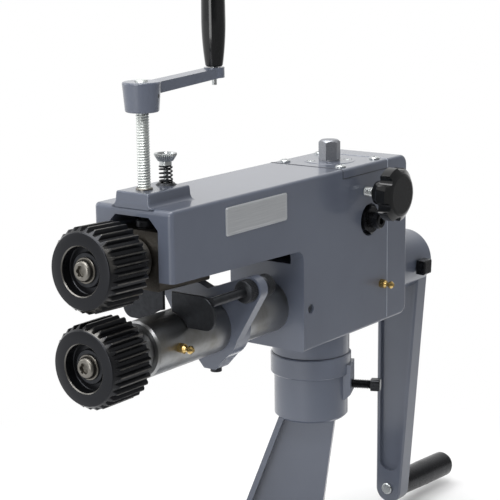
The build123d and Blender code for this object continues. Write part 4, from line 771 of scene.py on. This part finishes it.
def panScrewGrid(screw, turnDegrees):
    # a dome over circles of growing radius, sunk where either arm of the cross covers it,
    # after a straight shank
    columns = panHead["columns"]
    angle = np.linspace(0, 2 * np.pi, columns, endpoint=False)[None]
    share = np.linspace(1, panHead["heart"], panHead["rings"])[:, None]
    radius = screw["radius"] * share
    dome = screw["height"] * (1 - share ** 4 * panHead["fall"])
    crossAngle = angle + math.radians(turnDegrees)
    x, y = radius * np.cos(crossAngle), radius * np.sin(crossAngle)
    reach, half = screw["crossLength"], screw["crossWidth"]
    oneArm = (np.abs(y) < half) & (np.abs(x) < reach)
    otherArm = (np.abs(x) < half) & (np.abs(y) < reach)
    sunk = 1 - np.clip(np.hypot(x, y) / reach, 0, 1) * panHead["crossRise"]
    height = dome - np.maximum(oneArm, otherArm) * screw["crossDepth"] * sunk
    top = np.stack([np.broadcast_to(radius * np.cos(angle), height.shape),
                    np.broadcast_to(radius * np.sin(angle), height.shape), height], axis=-1)
    underRadii = [[screw["shank"]], [screw["shank"]], [screw["radius"]]]
    under = roundGrid(np.repeat(underRadii, columns, axis=1),
                      np.array([-screw["shankLength"], -panHead["seat"], 0.0]))
    return np.concatenate([under, top])


def makePanScrews(name, node, screw, places, body, turns):
    low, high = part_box(node)
    seat = high.z - screw["height"] * mm
    grids = [standing(panScrewGrid(screw, turn) * mm, (x, y, seat), (0, 0, 1))
             for (x, y), turn in zip(places, turns)]
    return surfaceMesh(name, grids, zinc, body, [node], sharpDegrees=40)


def cornersIn(node, radius):  # centres of the screws at the corners of the node's box
    low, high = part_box(node)
    inset = radius * mm
    return (low.x + inset, high.x - inset), (low.y + inset, high.y - inset)


coverX, coverY = cornersIn("top_cover_screws", coverScrew["radius"])
makePanScrews("cover_screws_crossed", "top_cover_screws", coverScrew,
              [(x, y) for x in coverX for y in coverY], "machine", (10, 52, 33, 75))
flangeX, flangeY = cornersIn("adjuster_flange_screws", flangeScrew["radius"])
makePanScrews("flange_screws_crossed", "adjuster_flange_screws", flangeScrew,
              list(zip(flangeX, flangeY)), "machine", (20, 60))
print("threads, knurls, spring and screws made")


# bare plate on the housing's side
sidePlate = {"yFrom": 63.5, "yTo": 142.5, "zFrom": 80.0, "zTo": 102.0, "thickness": 0.7,
             "corner": 2.0, "leastCorner": 0.05, "edge": 0.15, "rimFrom": 0.5, "slope": 0.2,
             "rim": 1.3, "rimProud": 0.25, "heart": 0.5, "perCorner": 10}


def makeSidePlate():
    # rings of one rounded rectangle, each set in from the last: wall, edge, raised rim, panel
    size = sidePlate
    halfY = (size["yTo"] - size["yFrom"]) / 2
    halfZ = (size["zTo"] - size["zFrom"]) / 2
    thick, edge = size["thickness"], size["edge"]
    rimOuter = size["rimFrom"] + size["slope"]
    rimInner, rimTop = rimOuter + size["rim"], thick + size["rimProud"]
    steps = [(0, 0), (0, thick - edge), (edge, thick), (size["rimFrom"], thick), (rimOuter, rimTop),
             (rimInner, rimTop), (rimInner + size["slope"], thick), (halfZ - size["heart"], thick)]
    angle, signY, signZ = roundedCorners(size["perCorner"])
    rings = []
    for inset, height in steps:
        corner = max(size["corner"] - inset, size["leastCorner"])
        across = signY * (halfY - inset - corner) + corner * np.cos(angle)
        upward = signZ * (halfZ - inset - corner) + corner * np.sin(angle)
        rings.append(np.stack([np.full_like(across, height), across, upward], axis=-1))
    middle = at(0, (size["yFrom"] + size["yTo"]) / 2, (size["zFrom"] + size["zTo"]) / 2)
    points = np.array(rings) * mm + np.array((housingHigh.x, middle.y, middle.z))
    return surfaceMesh("side_plate", [points], aluminium, "machine")


makeSidePlate()
print("plate made")


# cove cast round the foot of the boss on top of the head
bossCove = {"width": 33.0, "depth": 50.0, "radius": 3.5, "corner": 1.5, "leastCorner": 0.2,
            "draft": 0.07, "sink": 0.4, "inside": 1.0, "perCorner": 8, "steps": 9,
            "behindFront": 0.05}


def makeBossCove():
    # a hollow quarter circle carried round a rounded rectangle, closed on its inside. What
    # would stand before the head's front face stays just behind it
    size = bossCove
    radius, inside, sink = size["radius"], size["inside"], size["sink"]
    turn = np.linspace(np.pi / 2, 0, size["steps"])
    out = np.concatenate([radius * (1 - np.cos(turn)), [-inside, -inside, radius]])
    up = np.concatenate([radius * (1 - np.sin(turn)), [radius, -sink, -sink]])
    angle, signX, signY = roundedCorners(size["perCorner"])
    reach = (out - size["draft"] * np.maximum(up, 0))[:, None]
    corner = np.maximum(size["corner"] + reach, size["leastCorner"])
    x = signX * (size["width"] / 2 + reach - corner) + corner * np.cos(angle)
    y = signY * (size["depth"] / 2 + reach - corner) + corner * np.sin(angle)
    y = np.maximum(y + size["depth"] / 2, size["behindFront"])
    points = np.stack([x, y, np.broadcast_to(up[:, None], x.shape)], axis=-1) * mm
    points = points + np.array((shaftX, frontY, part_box("top_cover")[1].z))
    return surfaceMesh("boss_cove", [points], enamel, "machine", ringed=True)


makeBossCove()


# joints of the covers: a bead of paint or dirt fills each joint of the top cover, and a pale
# bead along the rear cover's joint is a painted highlight on that edge
coverJoint = {"bead": 0.32, "fill": 0.36, "corner": 2.5, "perCorner": 8, "columns": 8,
              "rows": 6, "rearFoot": 3.0}


def makeBead(name, path, square, radius, finish):
    # a round bead carried along a flat path, half sunk in the surface. square is the
    # direction square to the path's plane
    along = np.gradient(path, axis=0)
    along /= np.linalg.norm(along, axis=1, keepdims=True)
    sideways = np.cross(along, square)
    ring = np.linspace(0, 2 * np.pi, coverJoint["columns"], endpoint=False)
    grid = path[:, None] + radius * mm * (np.cos(ring)[None, :, None] * np.array(square)
                                          + np.sin(ring)[None, :, None] * sideways[:, None])
    return surfaceMesh(name, [grid], finish, "machine", sharpDegrees=60)


def overTheTop(y, bottom, top):  # up one side, round both upper corners and down the other
    curve, perCorner = coverJoint["corner"] * mm, coverJoint["perCorner"]
    right = arc(housingHigh.x - curve, top - curve, curve, np.linspace(0, np.pi / 2, perCorner))
    left = arc(housingLow.x + curve, top - curve, curve, np.linspace(np.pi / 2, np.pi, perCorner))
    line = np.concatenate([[(housingHigh.x, bottom)], right, left, [(housingLow.x, bottom)]])
    return np.stack([line[:, 0], np.full(len(line), y), line[:, 1]], axis=-1)


def makeJoints():
    coverLow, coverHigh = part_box("top_cover")
    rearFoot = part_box("rear_cover")[0].z + coverJoint["rearFoot"] * mm
    # the rear cover's pale bead paints the highlight along its edge
    makeBead("rear_cover_joint", overTheTop(coverHigh.y, rearFoot, coverHigh.z),
             (0.0, 1.0, 0.0), coverJoint["bead"], highlightBead)
    makeBead("top_cover_front_joint", overTheTop(coverLow.y, coverLow.z, coverHigh.z),
             (0.0, 1.0, 0.0), coverJoint["fill"], jointFill)
    for name, x in (("near", housingHigh.x), ("far", housingLow.x)):
        path = np.linspace((x, coverLow.y, coverLow.z), (x, coverHigh.y, coverLow.z),
                           coverJoint["rows"])
        makeBead("top_cover_" + name + "_joint", path, (0.0, 0.0, 1.0), coverJoint["fill"],
                 jointFill)


makeJoints()
print("joints filled")


# The studio is white where the camera sees it. In mirrors it is white behind, above and to the
# left, and dimmer to the right and in front, as in a room with one open side. On the floor
# clearFrom to clearTo is where its shadows give way to white, in metres from the object's middle,
# and shadeFrom to shadeTo where it dims along X. The other spans are the sky's directions.
studio = {"floorHalf": 6.0, "clearFrom": 0.16, "clearTo": 0.5, "floorColour": "fafafa",
          "floorRough": 0.9, "shadeFrom": 0.1, "shadeTo": 0.6, "skyForLight": 0.5,
          "shadeRight": 0.7, "rightFrom": -0.1, "rightTo": 0.5,
          "shadeFront": 0.25, "frontFrom": -0.8, "frontTo": -0.1}


def makeFloor():
    half = studio["floorHalf"]
    corners = [(-half, -half, 0), (half, -half, 0), (half, half, 0), (-half, half, 0)]
    mesh = bpy.data.meshes.new("studio_floor")
    mesh.from_pydata(corners, [], [(0, 1, 2, 3)])
    floor = bpy.data.objects.new("studio_floor", mesh)
    bpy.context.scene.collection.objects.link(floor)
    finish, tree, shader, place = newFinish(
        "pale_floor", Roughness=studio["floorRough"], Base_Color=linearColour(studio["floorColour"]))
    away = addNode(tree, "ShaderNodeVectorMath", {"Vector": place}, operation="LENGTH")
    clear = remap(tree, away.outputs["Value"], studio["clearFrom"], studio["clearTo"],
                  interpolation_type="SMOOTHSTEP")
    split = addNode(tree, "ShaderNodeSeparateXYZ", {"Vector": place})
    mirrored = remap(tree, split.outputs["X"], studio["shadeFrom"], studio["shadeTo"], 1.0,
                     1.0 - studio["shadeRight"], interpolation_type="SMOOTHSTEP")
    rays = addNode(tree, "ShaderNodeLightPath")
    level = combine(tree, "MAXIMUM", mirrored, rays.outputs["Is Camera Ray"])
    white = addNode(tree, "ShaderNodeEmission", {"Strength": level})
    share = combine(tree, "MULTIPLY", clear, addWhiteRays(tree))
    mixed = addNode(tree, "ShaderNodeMixShader", {  # 1 and 2 are the two shader sockets
        "Fac": share, 1: shader.outputs["BSDF"], 2: white.outputs["Emission"]})
    link(tree, mixed.outputs["Shader"], tree.nodes["Material Output"], "Surface")
    mesh.materials.append(finish)


def addWhiteRays(tree):  # 1 for the rays that are to meet white: seen, mirrored or let through
    rays = addNode(tree, "ShaderNodeLightPath")
    mirrored = combine(tree, "MAXIMUM", rays.outputs["Is Glossy Ray"],
                       rays.outputs["Is Transmission Ray"])
    return combine(tree, "MAXIMUM", rays.outputs["Is Camera Ray"], mirrored)


def makeSky():
    world = bpy.data.worlds.new("white_studio")
    world.use_nodes = True
    bpy.context.scene.world = world
    tree = world.node_tree
    background = tree.nodes["Background"]
    background.inputs["Color"].default_value = (1.0, 1.0, 1.0, 1.0)
    direction = addNode(tree, "ShaderNodeTexCoord").outputs["Generated"]
    split = addNode(tree, "ShaderNodeSeparateXYZ", {"Vector": direction})
    right = remap(tree, split.outputs["X"], studio["rightFrom"], studio["rightTo"], 1.0,
                  1.0 - studio["shadeRight"], interpolation_type="SMOOTHSTEP")
    front = remap(tree, split.outputs["Y"], studio["frontFrom"], studio["frontTo"],
                  studio["shadeFront"], 0.0, interpolation_type="SMOOTHSTEP")
    mirrored = combine(tree, "SUBTRACT", right, front)
    rays = addNode(tree, "ShaderNodeLightPath")
    shown = combine(tree, "MAXIMUM", mirrored, rays.outputs["Is Camera Ray"])
    level = remap(tree, addWhiteRays(tree), 0.0, 1.0, studio["skyForLight"], shown)
    link(tree, level, background, "Strength")


softboxes = [  # places and sizes in metres; each is aimed at the housing's middle
    {"name": "overhead", "place": (-0.2, -0.5, 2.4), "size": 2.0, "watts": 52},
    {"name": "key", "place": (0.87, -1.52, 1.99), "size": 0.5, "watts": 10},
    {"name": "front", "place": (0.2, -2.7, 1.2), "size": 1.4, "watts": 10},
    {"name": "low_front", "place": (0.35, -2.5, 0.45), "size": 0.9, "watts": 12},
    {"name": "left", "place": (-2.3, -0.9, 1.2), "size": 1.2, "watts": 9},
]


def makeLights():
    aim = middleOf("frame_casting")
    for box in softboxes:
        light = bpy.data.lights.new(box["name"], "AREA")
        light.shape = "SQUARE"
        light.size = box["size"]
        light.energy = box["watts"]
        lamp = bpy.data.objects.new(box["name"], light)
        lamp.location = box["place"]
        lamp.rotation_euler = (aim - lamp.location).to_track_quat("-Z", "Y").to_euler()
        lamp.visible_camera = False
        bpy.context.scene.collection.objects.link(lamp)


makeFloor()
makeSky()
makeLights()
print("floor, sky and lights made")


# camera: fitted to the housing's straight edges in the photograph. Degrees, millimetres for the
# lens and metres for its place
photoView = {"azimuth": 36.817, "elevation": 12.217, "roll": -0.744, "lens": 110.39, "sensor": 36.0,
             "farthest": 100.0, "place": (0.76451, -1.04254, 0.56886)}


def makeCamera():
    azimuth, elevation, roll = (math.radians(photoView[part])
                                for part in ("azimuth", "elevation", "roll"))
    back = Vector((math.sin(azimuth) * math.cos(elevation),
                   -math.cos(azimuth) * math.cos(elevation), math.sin(elevation)))
    right = Vector((math.cos(azimuth), math.sin(azimuth), 0.0))
    up = back.cross(right)
    rolledRight = math.cos(roll) * right + math.sin(roll) * up
    rolledUp = math.cos(roll) * up - math.sin(roll) * right
    lens = bpy.data.cameras.new("photo_camera")
    lens.lens = photoView["lens"]
    lens.sensor_width = photoView["sensor"]
    lens.clip_end = photoView["farthest"]
    camera = bpy.data.objects.new("photo_camera", lens)
    turn = Matrix((rolledRight, rolledUp, back)).transposed().to_4x4()
    camera.matrix_world = Matrix.Translation(photoView["place"]) @ turn
    bpy.context.scene.collection.objects.link(camera)
    bpy.context.scene.camera = camera


makeCamera()
bpy.context.scene.view_settings.view_transform = "Standard"
